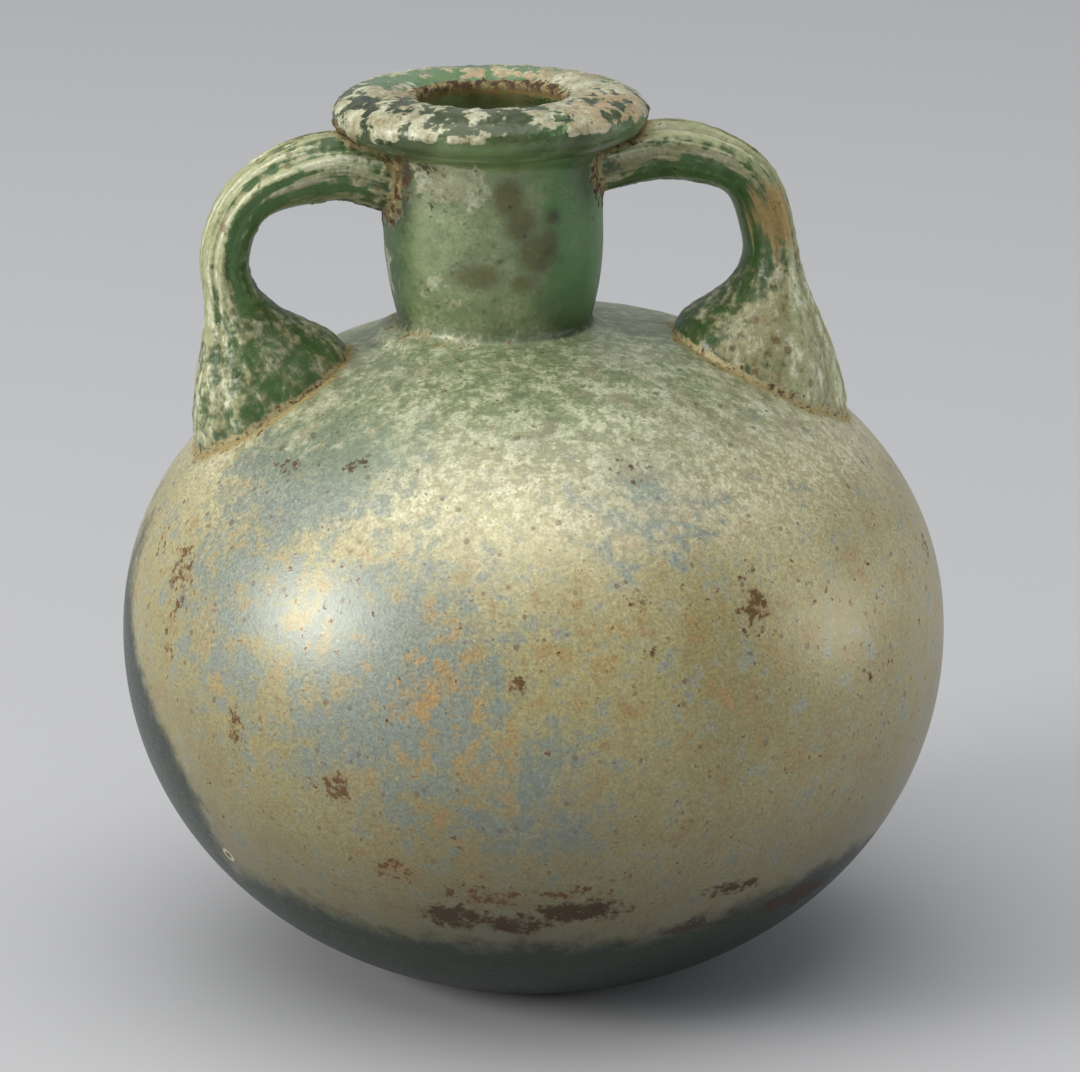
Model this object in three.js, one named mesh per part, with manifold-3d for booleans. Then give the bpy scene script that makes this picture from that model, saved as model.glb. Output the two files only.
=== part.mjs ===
import * as THREE from 'three';
import { mergeVertices } from 'three/addons/utils/BufferGeometryUtils.js';
import Module from 'manifold-3d';

const wasm = await Module();
wasm.setup();

// Free-blown glass oil flask with two trailed handles, in millimetres, +Z up.
// The origin is the middle of the flat base that it stands on. Its front looks along -Y.

// Globular body
const bodyRadius = 42;
const widestHeight = 35;
const shoulderRise = 32.8;
const baseRadius = 13.4;
const shoulderFullness = 2.13;
const bellyFullness = 2.04;
const bodyWall = 2.2;
const baseWall = 3.4;

// Neck, which the blower set a little to the left of the body's axis
const neckRadius = 11.1;
const neckFootRadius = 9.7;
const neckWall = 2.4;
const neckLength = 18.1;
const neckFillet = 1.2;
const neckBlend = 6;
const neckSideShift = -3.9;

// Shares of the neck's length at which its foot leaves the shoulder and its side runs straight
const neckSwellShare = 0.3;
const neckStraightShare = 0.55;

// Rim, folded out, down and back in to the mouth
const rimRadius = 15.9;
const rimThickness = 5.3;
const rimWidestDrop = 2.6;
const rimCrestRadius = 10.7;
const rimSideShift = -0.4;
const mouthRadius = 7.3;
const mouthDish = 1.1;

// Shares of the rim's overhang and height that its fold is drawn through
const rimRootShare = 0.8;
const rimTuckShare = 0.25;
const rimTuckRise = 0.2;
const rimSideRise = 0.5;
const rimBrowRise = 0.6;
const rimBrowShare = 0.4;

// Shares of the neck's wall that round the lip of the mouth
const lipEdgeShare = 0.3;
const lipTurnShare = 0.6;
const lipFootShare = 1.2;

// The flat base cuts the belly off, which would close a little below it
const bellyCut = (1 - (baseRadius / bodyRadius) ** bellyFullness) ** (1 / bellyFullness);
const bellyDrop = widestHeight / bellyCut;

// Heights that follow from them
const crownHeight = widestHeight + shoulderRise;
const rimUnderside = crownHeight + neckLength;
const rimTop = rimUnderside + rimThickness;

// Handles: each is a reeded strap, drawn up from a flared foot on the shoulder to the neck.
// The gap is left where a handle meets the vessel.
const joinGap = 0.3;
const rootDepth = 2;
const reedDepth = 0.5;
const reedCount = 4;
const kneeWay = 0.41;
const flareSharpness = 1.3;
const wristStartWay = 0.55;
const wristEndWay = 0.8;

// A foot stands in from the body's side, the strap leans out from its foot and ends at the neck

const leftHandle = {
  azimuth: 189,
  strapWidth: 7.6,
  strapThickness: 5,
  wristThickness: 7,
  turn: 0,
  footInset: 15.8,
  footLength: 18.6,
  footWidth: 16.4,
  ankleLean: 3.2,
  ankleRise: 6.4,
  kneeLean: 4.7,
  kneeDrop: 11.2,
  elbowLean: 2.2,
  elbowDrop: 5.3,
  wristOut: 5,
  wristDrop: 2.3,
  neckEndDrop: 3.9,
};

const rightHandle = {
  azimuth: 1,
  strapWidth: 7.8,
  strapThickness: 5,
  wristThickness: 6.2,
  turn: 22,
  footInset: 19.3,
  footLength: 20,
  footWidth: 18.8,
  ankleLean: 0.9,
  ankleRise: 6,
  kneeLean: 0.6,
  kneeDrop: 9.6,
  elbowLean: -1.7,
  elbowDrop: 4,
  wristOut: 6.8,
  wristDrop: 1.3,
  neckEndDrop: 2.6,
};

// Faceting
const latheSegments = 48;
const outerBodySteps = 11;
const innerBodySteps = 9;
const bendSteps = 3;
const strapSteps = 28;
const pointsPerReed = 4;
const smoothSidePoints = 8;

// Superellipse height above or below the widest ring at a given radius
function domeHeight(radius, dome) {
  const share = Math.min(radius / dome.radius, 1);
  return dome.rise * (1 - share ** dome.fullness) ** (1 / dome.fullness);
}

// The body's two halves, swollen by grow, which is negative for the inner wall
function shoulderDome(grow) {
  return { radius: bodyRadius + grow, rise: shoulderRise + grow, fullness: shoulderFullness };
}

function bellyDome(grow) {
  return { radius: bodyRadius + grow, rise: bellyDrop + grow, fullness: bellyFullness };
}

// Profile points of the body between a floor and the foot of the neck, from below up
function bodyProfile(grow, floorHeight, neckFoot, steps) {
  const belly = bellyDome(grow);
  const shoulder = shoulderDome(grow);
  const bellyStart = Math.asin(((widestHeight - floorHeight) / belly.rise) ** (belly.fullness / 2));
  const shoulderEnd = Math.acos((neckFoot / shoulder.radius) ** (shoulder.fullness / 2));
  const points = [];
  for (let i = 0; i <= steps; i += 1) {
    const angle = bellyStart * (1 - i / steps);
    const radius = belly.radius * Math.cos(angle) ** (2 / belly.fullness);
    const drop = belly.rise * Math.sin(angle) ** (2 / belly.fullness);
    points.push(new THREE.Vector2(radius, widestHeight - drop));
  }
  for (let i = 1; i <= steps; i += 1) {
    const angle = shoulderEnd * (i / steps);
    const radius = shoulder.radius * Math.cos(angle) ** (2 / shoulder.fullness);
    const rise = shoulder.rise * Math.sin(angle) ** (2 / shoulder.fullness);
    points.push(new THREE.Vector2(radius, widestHeight + rise));
  }
  return points;
}

// Profile points of the neck's outside, from its fillet on the shoulder to the rim
function neckProfile(grow) {
  const foot = neckFootRadius + grow;
  const footHeight = widestHeight + domeHeight(foot, shoulderDome(grow));
  const path = new THREE.Path();
  path.moveTo(foot + neckFillet, footHeight - neckFillet * 0.2);
  path.quadraticCurveTo(foot, footHeight, foot + neckFillet * 0.2, footHeight + neckFillet);
  path.quadraticCurveTo(neckRadius + grow, footHeight + neckLength * neckSwellShare,
    neckRadius + grow, footHeight + neckLength * neckStraightShare);
  path.lineTo(neckRadius + grow, rimUnderside - neckFillet - grow);
  return path.getPoints(bendSteps);
}

// Profile points of the rim, from its underside over the crest to the mouth
function rimProfile(grow) {
  const edge = rimRadius + grow;
  const top = rimTop + grow;
  const under = rimUnderside - grow;
  const widest = rimTop - rimWidestDrop;
  const overhang = rimRadius - neckRadius;
  const path = new THREE.Path();
  path.moveTo(edge - overhang * rimRootShare, under);
  path.bezierCurveTo(edge - overhang * rimTuckShare, THREE.MathUtils.lerp(under, widest, rimTuckRise),
    edge, THREE.MathUtils.lerp(under, widest, rimSideRise), edge, widest);
  path.bezierCurveTo(edge, THREE.MathUtils.lerp(widest, top, rimBrowRise),
    edge - overhang * rimBrowShare, top, rimCrestRadius, top);
  path.quadraticCurveTo((rimCrestRadius + mouthRadius) / 2, top, mouthRadius, top - mouthDish);
  return path.getPoints(bendSteps + 1);
}

// Profile points of the inside, from the mouth's lip down the bore to the floor
function insideProfile() {
  const bore = neckRadius - neckWall;
  const boreFoot = neckFootRadius - neckWall;
  const lipHeight = rimTop - mouthDish;
  const footHeight = widestHeight + domeHeight(boreFoot, shoulderDome(-bodyWall));
  const lip = new THREE.Path();
  lip.moveTo(mouthRadius, lipHeight - neckWall * lipEdgeShare);
  lip.quadraticCurveTo(mouthRadius, lipHeight - neckWall * lipTurnShare,
    bore, lipHeight - neckWall * lipFootShare);
  lip.lineTo(bore, footHeight + neckLength * neckStraightShare);
  lip.quadraticCurveTo(bore, footHeight + neckLength * neckSwellShare,
    boreFoot, footHeight + neckFillet);
  const body = bodyProfile(-bodyWall, baseWall, boreFoot + neckFillet, innerBodySteps);
  return [...lip.getPoints(bendSteps), ...body.reverse()];
}

// Moves the neck aside, blended into the shoulder round its foot, and the rim a little more
function setNeckAside(geometry) {
  const blendStart = neckFootRadius + neckFillet;
  const position = geometry.attributes.position;
  for (let i = 0; i < position.count; i += 1) {
    const height = position.getZ(i);
    const radius = Math.hypot(position.getX(i), position.getY(i));
    const onNeck = height > crownHeight ? 1 : 0;
    const nearNeck = 1 - THREE.MathUtils.smoothstep(radius, blendStart, blendStart + neckBlend);
    const neckShare = height > widestHeight ? Math.max(onNeck, nearNeck) : 0;
    const rimShare = THREE.MathUtils.smoothstep(height, crownHeight, rimTop);
    const shift = neckSideShift * neckShare + rimSideShift * rimShare;
    position.setX(i, position.getX(i) + shift);
  }
  return geometry;
}

// Turns a profile of radius and height about +Z
function turned(profile) {
  const geometry = new THREE.LatheGeometry(profile, latheSegments);
  return setNeckAside(geometry.rotateX(Math.PI / 2));
}

function outsideProfile(grow) {
  const floorHeight = -grow;
  const body = bodyProfile(grow, floorHeight, neckFootRadius + grow + neckFillet, outerBodySteps);
  body.pop();
  return [new THREE.Vector2(0, floorHeight), ...body, ...neckProfile(grow), ...rimProfile(grow)];
}

function vesselGeometry() {
  const floor = new THREE.Vector2(0, baseWall);
  return turned([...outsideProfile(0), ...insideProfile(), floor]);
}

// The vessel's outside as a full solid, swollen by the gap, to trim the handles with
function vesselTrim() {
  const top = new THREE.Vector2(0, rimTop + joinGap);
  return turned([...outsideProfile(joinGap), top]);
}

function toSolid(geometry) {
  const bare = geometry.clone();
  bare.deleteAttribute('normal');
  bare.deleteAttribute('uv');
  const merged = mergeVertices(bare);
  const vertProperties = new Float32Array(merged.attributes.position.array);
  const triVerts = new Uint32Array(merged.index.array);
  return new wasm.Manifold(new wasm.Mesh({ numProp: 3, vertProperties, triVerts }));
}

function toGeometry(solid) {
  const mesh = solid.getMesh();
  const geometry = new THREE.BufferGeometry();
  geometry.setAttribute('position', new THREE.BufferAttribute(mesh.vertProperties, 3));
  geometry.setIndex(new THREE.BufferAttribute(mesh.triVerts, 1));
  geometry.computeVertexNormals();
  return geometry;
}

function shoulderHeight(reach) {
  return widestHeight + domeHeight(reach, shoulderDome(0));
}

// Middle line of a handle in its own plane: X is the reach from the body's axis, Z the height
function handleLine(handle) {
  const footReach = bodyRadius - handle.footInset;
  const footHeight = shoulderHeight(footReach);
  const side = Math.sign(Math.cos(THREE.MathUtils.degToRad(handle.azimuth)));
  const neckSide = neckRadius + neckSideShift * side;
  return new THREE.CatmullRomCurve3([
    new THREE.Vector3(footReach, 0, footHeight - rootDepth),
    new THREE.Vector3(footReach + handle.ankleLean, 0, footHeight + handle.ankleRise),
    new THREE.Vector3(footReach + handle.kneeLean, 0, rimUnderside - handle.kneeDrop),
    new THREE.Vector3(footReach + handle.elbowLean, 0, rimUnderside - handle.elbowDrop),
    new THREE.Vector3(neckSide + handle.wristOut, 0, rimUnderside - handle.wristDrop),
    new THREE.Vector3(neckSide - neckWall / 2, 0, rimUnderside - handle.neckEndDrop),
  ], false, 'centripetal');
}

// Direction in which the foot's sole lies on the shoulder, outwards and down
function soleDirection(handle) {
  const step = handle.footLength / 2;
  const footReach = bodyRadius - handle.footInset;
  const fall = shoulderHeight(footReach + step) - shoulderHeight(footReach - step);
  return new THREE.Vector3(2 * step, 0, fall).normalize();
}

// Share of the foot's flare at a share of the way along the strap, none from the knee on
function flareAt(way) {
  const share = Math.min(way / kneeWay, 1);
  return (0.5 + 0.5 * Math.cos(Math.PI * share)) ** flareSharpness;
}

// Round outline with points on every reed's crest and valley, which the strap's section bends
function strapOutline() {
  const outline = new THREE.Shape();
  const reedPoints = reedCount * pointsPerReed;
  for (let i = 0; i < reedPoints; i += 1) {
    const angle = Math.PI * (i / reedPoints);
    const x = Math.cos(angle);
    const y = Math.sin(angle);
    if (i === 0) outline.moveTo(x, y);
    else outline.lineTo(x, y);
  }
  for (let i = 0; i < smoothSidePoints; i += 1) {
    const angle = Math.PI * (1 + i / smoothSidePoints);
    outline.lineTo(Math.cos(angle), Math.sin(angle));
  }
  outline.closePath();
  return outline;
}

// Section of the strap at one angle: reeds on its outer side, smooth towards the loop
function strapSection(angle, way, handle) {
  const flare = flareAt(way);
  const wristShare = THREE.MathUtils.smoothstep(way, wristStartWay, wristEndWay);
  const strap = THREE.MathUtils.lerp(handle.strapThickness, handle.wristThickness, wristShare);
  const halfThickness = THREE.MathUtils.lerp(strap, handle.footLength, flare) / 2;
  const halfWidth = THREE.MathUtils.lerp(handle.strapWidth, handle.footWidth, flare) / 2;
  const reedShare = Math.max(Math.sin(angle), 0) ** 0.5;
  const reed = reedDepth * (reedShare * Math.abs(Math.sin(angle * reedCount)) - 0.5);
  return new THREE.Vector2(
    (halfWidth + reed) * Math.cos(angle),
    (halfThickness + reed) * Math.sin(angle),
  );
}

function handleGeometry(handle) {
  const straight = new THREE.ExtrudeGeometry(strapOutline(), {
    depth: 1, steps: strapSteps, bevelEnabled: false,
  });
  const line = handleLine(handle);
  const sole = soleDirection(handle);
  const turn = THREE.MathUtils.degToRad(handle.turn);
  const position = straight.attributes.position;
  for (let i = 0; i < position.count; i += 1) {
    const way = position.getZ(i);
    const angle = Math.atan2(position.getY(i), position.getX(i));
    const twist = turn * Math.sin(Math.PI * way);
    const section = strapSection(angle, way, handle).rotateAround(new THREE.Vector2(), twist);
    const middle = line.getPointAt(way);
    const along = line.getTangentAt(way);
    const across = new THREE.Vector3(along.z, 0, -along.x);
    const outward = sole.clone().lerp(across, THREE.MathUtils.smoothstep(way, 0, kneeWay));
    middle.addScaledVector(outward.normalize(), section.y);
    position.setXYZ(i, middle.x, middle.y - section.x, middle.z);
  }
  straight.rotateZ(THREE.MathUtils.degToRad(handle.azimuth));
  return toGeometry(toSolid(straight).subtract(toSolid(vesselTrim())));
}

function glass(color, roughness) {
  return new THREE.MeshStandardMaterial({ color, roughness, metalness: 0 });
}

function subPart(name, geometry, material) {
  const mesh = new THREE.Mesh(geometry, material);
  mesh.name = name;
  return mesh;
}

const flask = new THREE.Group();
flask.add(subPart('flask_vessel', vesselGeometry(), glass(0xa6a27c, 0.45)));
flask.add(subPart('handle_left', handleGeometry(leftHandle), glass(0x6f8456, 0.4)));
flask.add(subPart('handle_right', handleGeometry(rightHandle), glass(0x74855c, 0.4)));

export default flask;
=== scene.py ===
"""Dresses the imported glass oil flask: blown green glass under burial film, crust and soil.

The flask stands on its flat base with its front along -Y. Everything is in metres, in the frame
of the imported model: the vessel and the two handles each replace the solid of the same place.
"""

import logging
import math
from dataclasses import dataclass, field
from enum import Enum
from functools import partial, reduce

import bmesh
import bpy
from mathutils import Matrix, Vector, noise
from mathutils.bvhtree import BVHTree
from mathutils.geometry import interpolate_bezier


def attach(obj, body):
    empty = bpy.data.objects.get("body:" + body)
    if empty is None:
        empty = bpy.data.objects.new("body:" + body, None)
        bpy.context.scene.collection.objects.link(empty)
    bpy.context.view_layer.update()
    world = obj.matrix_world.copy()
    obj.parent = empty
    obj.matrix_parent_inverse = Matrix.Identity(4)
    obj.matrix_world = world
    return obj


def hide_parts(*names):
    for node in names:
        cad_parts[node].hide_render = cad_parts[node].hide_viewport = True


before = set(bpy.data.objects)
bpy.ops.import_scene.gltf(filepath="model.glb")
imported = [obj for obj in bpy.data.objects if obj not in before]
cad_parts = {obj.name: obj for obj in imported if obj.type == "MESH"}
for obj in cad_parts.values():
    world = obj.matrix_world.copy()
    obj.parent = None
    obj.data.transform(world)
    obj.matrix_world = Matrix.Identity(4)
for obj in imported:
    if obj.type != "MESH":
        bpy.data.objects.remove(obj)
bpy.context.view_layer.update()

LOG = logging.getLogger("flask")
MM = 0.001

Colour = tuple[float, float, float, float]
Given = bpy.types.NodeSocket | float | tuple


class Mark(Enum):
    """Names of the values that a piece's vertices carry for its material."""

    CRUST = "crust"
    SOIL = "soil"
    FILM = "film"
    LINING = "lining"
    BROWN = "brown"
    OCHRE = "ochre"
    DARK = "dark"
    GREY = "grey"
    BARE = "bare"
    REED = "reed"
    STRAP = "strap"


class Blend(Enum):
    """Ways in which one colour goes over another."""

    MIX = "MIX"
    MULTIPLY = "MULTIPLY"


def smoothstep(value: float, low: float, high: float) -> float:
    """Rises smoothly from 0 at low to 1 at high."""
    share = min(max((value - low) / (high - low), 0.0), 1.0)
    return share * share * (3.0 - 2.0 * share)


def lerp(first: float, second: float, share: float) -> float:
    """Value at a share of the way from the first to the second."""
    return first + (second - first) * share


@dataclass(frozen=True)
class Ramp:
    """A smooth way from one value at low to another at high, flat beyond them."""

    low: float
    high: float
    start: float = 0.0
    end: float = 1.0

    def at(self, value: float) -> float:
        """The ramp's own value where the given one stands."""
        return lerp(self.start, self.end, smoothstep(value, self.low, self.high))


def rgb(red: int, green: int, blue: int) -> Colour:
    """Linear colour of a screen colour given from 0 to 255."""
    linear = [((c / 255 + 0.055) / 1.055) ** 2.4 for c in (red, green, blue)]
    return (*linear, 1.0)


CLOUD_ROUGHNESS = 0.8
CLOUD_GAP = 2.1


def roughness_at(place: Vector, size: float, octaves: int) -> float:
    """Cloudy value from about -1 to 1 at a place.

    Args:
        place: Point in metres.
        size: Breadth of the largest clouds in metres.
        octaves: Number of finer layers.

    Returns:
        The value of the noise there.
    """
    return noise.fractal(place / size, CLOUD_ROUGHNESS, CLOUD_GAP, octaves)


def quadratic(start: tuple, pull: tuple, end: tuple, steps: int) -> list[Vector]:
    """Points of a quadratic curve in the plane of radius and height.

    Args:
        start: Radius and height of its start.
        pull: The corner that it is drawn towards.
        end: Its end.
        steps: Number of steps.

    Returns:
        The points.
    """
    points = []
    for i in range(steps + 1):
        t = i / steps
        weights = ((1.0 - t) ** 2, 2.0 * t * (1.0 - t), t * t)
        radius = sum(w * p[0] for w, p in zip(weights, (start, pull, end)))
        height = sum(w * p[1] for w, p in zip(weights, (start, pull, end)))
        points.append(Vector((radius, 0.0, height)))
    return points


def bezier(start: tuple, leave: tuple, arrive: tuple, end: tuple, steps: int) -> list[Vector]:
    """Points of a cubic curve in the plane of radius and height."""
    corners = [Vector((p[0], 0.0, p[1])) for p in (start, leave, arrive, end)]
    return interpolate_bezier(*corners, steps + 1)


# Vessel


@dataclass(frozen=True)
class BlownVessel:
    """The free-blown bottle: globular body, neck set a little aside, folded rim and the hollow."""

    body_radius: float = 42.0 * MM
    widest_height: float = 35.0 * MM
    shoulder_rise: float = 32.8 * MM
    base_radius: float = 13.4 * MM
    shoulder_fullness: float = 2.13
    belly_fullness: float = 2.04
    body_wall: float = 2.2 * MM
    base_wall: float = 3.4 * MM
    neck_radius: float = 11.1 * MM
    neck_foot_radius: float = 9.7 * MM
    neck_wall: float = 2.4 * MM
    neck_length: float = 18.1 * MM
    neck_fillet: float = 1.2 * MM
    neck_blend: float = 6.0 * MM
    neck_side_shift: float = -3.9 * MM
    rim_radius: float = 15.9 * MM
    rim_thickness: float = 5.3 * MM
    rim_widest_drop: float = 2.6 * MM
    rim_crest_radius: float = 10.7 * MM
    rim_side_shift: float = -0.4 * MM
    mouth_radius: float = 7.3 * MM
    mouth_dish: float = 1.1 * MM
    round_steps: int = 256
    outer_steps: int = 76
    inner_steps: int = 34
    curve_steps: int = 18
    floor_steps: int = 10
    merge_reach: float = 0.001 * MM
    fillet_sink: float = 0.2
    swell_share: float = 0.3
    straight_share: float = 0.55
    rim_root_share: float = 0.8
    rim_tuck: tuple[float, float] = (0.25, 0.2)
    rim_side_rise: float = 0.5
    rim_brow: tuple[float, float] = (0.4, 0.6)
    lip_shares: tuple[float, float, float] = (0.3, 0.6, 1.2)

    @property
    def crown_height(self) -> float:
        """Height at which the shoulder would close under the neck."""
        return self.widest_height + self.shoulder_rise

    @property
    def rim_underside(self) -> float:
        """Height of the rim's underside."""
        return self.crown_height + self.neck_length

    @property
    def rim_top(self) -> float:
        """Height of the rim's crest."""
        return self.rim_underside + self.rim_thickness

    @property
    def mouth_x(self) -> float:
        """How far the mouth's middle stands to the side."""
        return self.neck_side_shift + self.rim_side_shift

    @property
    def belly_drop(self) -> float:
        """Depth at which the belly would close below the flat base."""
        share = (self.base_radius / self.body_radius) ** self.belly_fullness
        return self.widest_height / (1.0 - share) ** (1.0 / self.belly_fullness)

    def dome_height(self, radius: float, grow: float = 0.0) -> float:
        """Height of the shoulder above the widest ring at a radius.

        Args:
            radius: Distance from the axis in metres.
            grow: How far the dome is swollen, negative for the inner wall.

        Returns:
            The height in metres.
        """
        share = min(radius / (self.body_radius + grow), 1.0)
        rise = self.shoulder_rise + grow
        return rise * (1.0 - share**self.shoulder_fullness) ** (1.0 / self.shoulder_fullness)

    def shoulder_height(self, reach: float) -> float:
        """Height of the outside of the shoulder above the base at a reach from the axis."""
        return self.widest_height + self.dome_height(reach)

    def body_profile(self, grow: float, floor: float, neck_foot: float, steps: int) -> list[Vector]:
        """Points of the body's wall from a floor up to the foot of the neck.

        Args:
            grow: How far the wall is swollen, negative for the inner wall.
            floor: Height at which the belly is cut flat.
            neck_foot: Radius at which the neck begins.
            steps: Number of steps in each half.

        Returns:
            The points, with radius as X and height as Z.
        """
        radius, drop = self.body_radius + grow, self.belly_drop + grow
        rise = self.shoulder_rise + grow
        low, high = self.belly_fullness, self.shoulder_fullness
        start = math.asin(((self.widest_height - floor) / drop) ** (low / 2.0))
        end = math.acos((neck_foot / radius) ** (high / 2.0))
        points = []
        for i in range(steps + 1):
            angle = start * (1.0 - i / steps)
            height = self.widest_height - drop * math.sin(angle) ** (2.0 / low)
            points.append(Vector((radius * math.cos(angle) ** (2.0 / low), 0.0, height)))
        for i in range(1, steps + 1):
            angle = end * i / steps
            height = self.widest_height + rise * math.sin(angle) ** (2.0 / high)
            points.append(Vector((radius * math.cos(angle) ** (2.0 / high), 0.0, height)))
        return points

    def neck_profile(self) -> list[Vector]:
        """Draws the neck's outside.

        Returns:
            The points, from its fillet on the shoulder to the rim's underside.
        """
        foot, side, fillet = self.neck_foot_radius, self.neck_radius, self.neck_fillet
        height = self.shoulder_height(foot)
        swell = height + self.neck_length * self.swell_share
        straight = height + self.neck_length * self.straight_share
        top, sink, steps = self.rim_underside - fillet, fillet * self.fillet_sink, self.curve_steps
        start = (foot + sink, height + fillet)
        points = quadratic((foot + fillet, height - sink), (foot, height), start, steps // 3)
        points += quadratic(start, (side, swell), (side, straight), steps)[1:]
        points += [Vector((side, 0.0, lerp(straight, top, i / steps))) for i in range(1, steps + 1)]
        return points

    def rim_profile(self) -> list[Vector]:
        """Draws the folded rim.

        Returns:
            The points, from its underside over the crest to the mouth.
        """
        edge, overhang = self.rim_radius, self.rim_radius - self.neck_radius
        under, top = self.rim_underside, self.rim_top
        widest = top - self.rim_widest_drop
        steps = self.curve_steps
        tuck, brow = self.rim_tuck, self.rim_brow
        points = bezier((edge - overhang * self.rim_root_share, under),
                        (edge - overhang * tuck[0], lerp(under, widest, tuck[1])),
                        (edge, lerp(under, widest, self.rim_side_rise)), (edge, widest), steps)
        points += bezier((edge, widest), (edge, lerp(widest, top, brow[1])),
                         (edge - overhang * brow[0], top), (self.rim_crest_radius, top),
                         steps)[1:]
        dish = top - self.mouth_dish
        middle = (self.rim_crest_radius + self.mouth_radius) / 2.0
        points += quadratic((self.rim_crest_radius, top), (middle, top),
                            (self.mouth_radius, dish), steps // 2)[1:]
        return points

    def hollow_profile(self) -> list[Vector]:
        """Draws the inside.

        Returns:
            The points, from the mouth's lip down the bore to the floor.
        """
        bore = self.neck_radius - self.neck_wall
        bore_foot = self.neck_foot_radius - self.neck_wall
        lip = self.rim_top - self.mouth_dish
        wall, steps = self.neck_wall, self.curve_steps
        height = self.widest_height + self.dome_height(bore_foot, -self.body_wall)
        straight = height + self.neck_length * self.straight_share
        swell = height + self.neck_length * self.swell_share
        edge, turn, top = (lip - wall * share for share in self.lip_shares)
        points = quadratic((self.mouth_radius, edge), (self.mouth_radius, turn), (bore, top),
                           steps // 3)
        points += [Vector((bore, 0.0, lerp(top, straight, i / steps))) for i in range(1, steps + 1)]
        points += quadratic((bore, straight), (bore, swell),
                            (bore_foot, height + self.neck_fillet), steps)[1:]
        body = self.body_profile(-self.body_wall, self.base_wall, bore_foot + self.neck_fillet,
                                 self.inner_steps)
        return points + body[::-1]

    def set_aside(self, place: Vector) -> float:
        """How far the neck and rim stand to the side.

        Args:
            place: Point on the turned shape.

        Returns:
            The shift in metres, none on the body below its widest ring.
        """
        radius = math.hypot(place.x, place.y)
        start = self.neck_foot_radius + self.neck_fillet
        near_neck = 1.0 - smoothstep(radius, start, start + self.neck_blend)
        share = 0.0
        if place.z > self.widest_height:
            share = 1.0 if place.z > self.crown_height else near_neck
        rim_share = smoothstep(place.z, self.crown_height, self.rim_top)
        return self.neck_side_shift * share + self.rim_side_shift * rim_share

    def turned(self) -> bmesh.types.BMesh:
        """Turns the smooth vessel about its axis.

        Returns:
            One closed shell, with its hollow marked as lining.
        """
        outside = self.body_profile(0.0, 0.0, self.neck_foot_radius + self.neck_fillet,
                                    self.outer_steps)[:-1]
        outside += self.neck_profile() + self.rim_profile()
        hollow = self.hollow_profile()
        steps = self.floor_steps
        start = [Vector((self.base_radius * i / steps, 0.0, 0.0)) for i in range(steps)]
        inner_edge = hollow[-1].x
        end = [Vector((inner_edge * (1.0 - i / steps), 0.0, self.base_wall))
               for i in range(1, steps + 1)]
        mesh = bmesh.new()
        lining = mesh.verts.layers.float.new(Mark.LINING.value)
        chain = []
        for place in start + outside:
            chain.append(mesh.verts.new(place))
        for place in hollow + end:
            vertex = mesh.verts.new(place)
            vertex[lining] = 1.0
            chain.append(vertex)
        edges = [mesh.edges.new(pair) for pair in zip(chain, chain[1:])]
        bmesh.ops.spin(mesh, geom=chain + edges, cent=(0.0, 0.0, 0.0), axis=(0.0, 0.0, 1.0),
                       angle=math.tau, steps=self.round_steps, use_merge=True)
        bmesh.ops.remove_doubles(mesh, verts=mesh.verts, dist=self.merge_reach)
        bmesh.ops.recalc_face_normals(mesh, faces=mesh.faces)
        for vertex in mesh.verts:
            vertex.co.x += self.set_aside(vertex.co)
        return mesh


# Weathering of the vessel


@dataclass(frozen=True)
class Stain:
    """A stain at a place on the flask, in millimetres, with its reach along each axis."""

    centre: tuple[float, float, float]
    reach: tuple[float, float, float]
    strength: float = 1.0
    fade: Ramp = Ramp(0.2, 1.5, 1.0, 0.0)

    def share(self, place: Vector) -> float:
        """How much of the stain there is at a place.

        Args:
            place: Point on the flask in metres.

        Returns:
            The stain's strength at its middle, falling to 0 outside its reach.
        """
        if abs(place.z / MM - self.centre[2]) > self.fade.high * self.reach[2]:
            return 0.0
        offsets = ((p / MM - c) / r for p, c, r in zip(place, self.centre, self.reach))
        return self.strength * self.fade.at(math.sqrt(sum(o * o for o in offsets)))


def field_share(stains: tuple[Stain, ...], place: Vector) -> float:
    """How much there is of the strongest of several stains at a place."""
    return max(stain.share(place) for stain in stains)


NOISE_OFFSET = Vector((0.0, 0.0, 1.0))
VESSEL_MARKS = (Mark.CRUST, Mark.FILM, Mark.SOIL, Mark.BROWN, Mark.OCHRE, Mark.DARK, Mark.GREY,
                Mark.BARE)
NECK_PATCH = Stain((-8.6, -9.6, 84.0), (5.4, 5.0, 3.4), 1.0)
NECK_FLECKS = Stain((-9.0, -8.5, 72.8), (4.5, 5.0, 4.2), 1.0)
BORE_STAINS = (
    Stain((-2.4, -8.4, 82.2), (1.7, 3.0, 2.2), 1.0),
    Stain((-1.2, -8.2, 79.4), (1.8, 3.0, 2.2), 0.9),
    Stain((0.3, -7.8, 76.4), (2.2, 3.0, 2.4), 1.0),
    Stain((-5.6, -8.4, 74.2), (3.2, 3.0, 1.6), 0.8),
    Stain((1.6, -7.4, 79.6), (1.2, 3.0, 1.4), 0.6),
    Stain((-1.0, -8.0, 73.4), (1.6, 3.0, 1.4), 0.7),
)
NECK_RUST = (
    Stain((-13.3, -6.6, 83.8), (2.0, 3.6, 3.2), 1.2),
    Stain((-10.4, -9.0, 84.8), (1.6, 2.4, 1.2), 0.9),
    Stain((7.0, -4.4, 84.6), (1.6, 3.6, 2.8), 1.2),
    Stain((-9.6, -9.4, 81.6), (1.2, 2.4, 1.6), 0.55),
)
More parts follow.
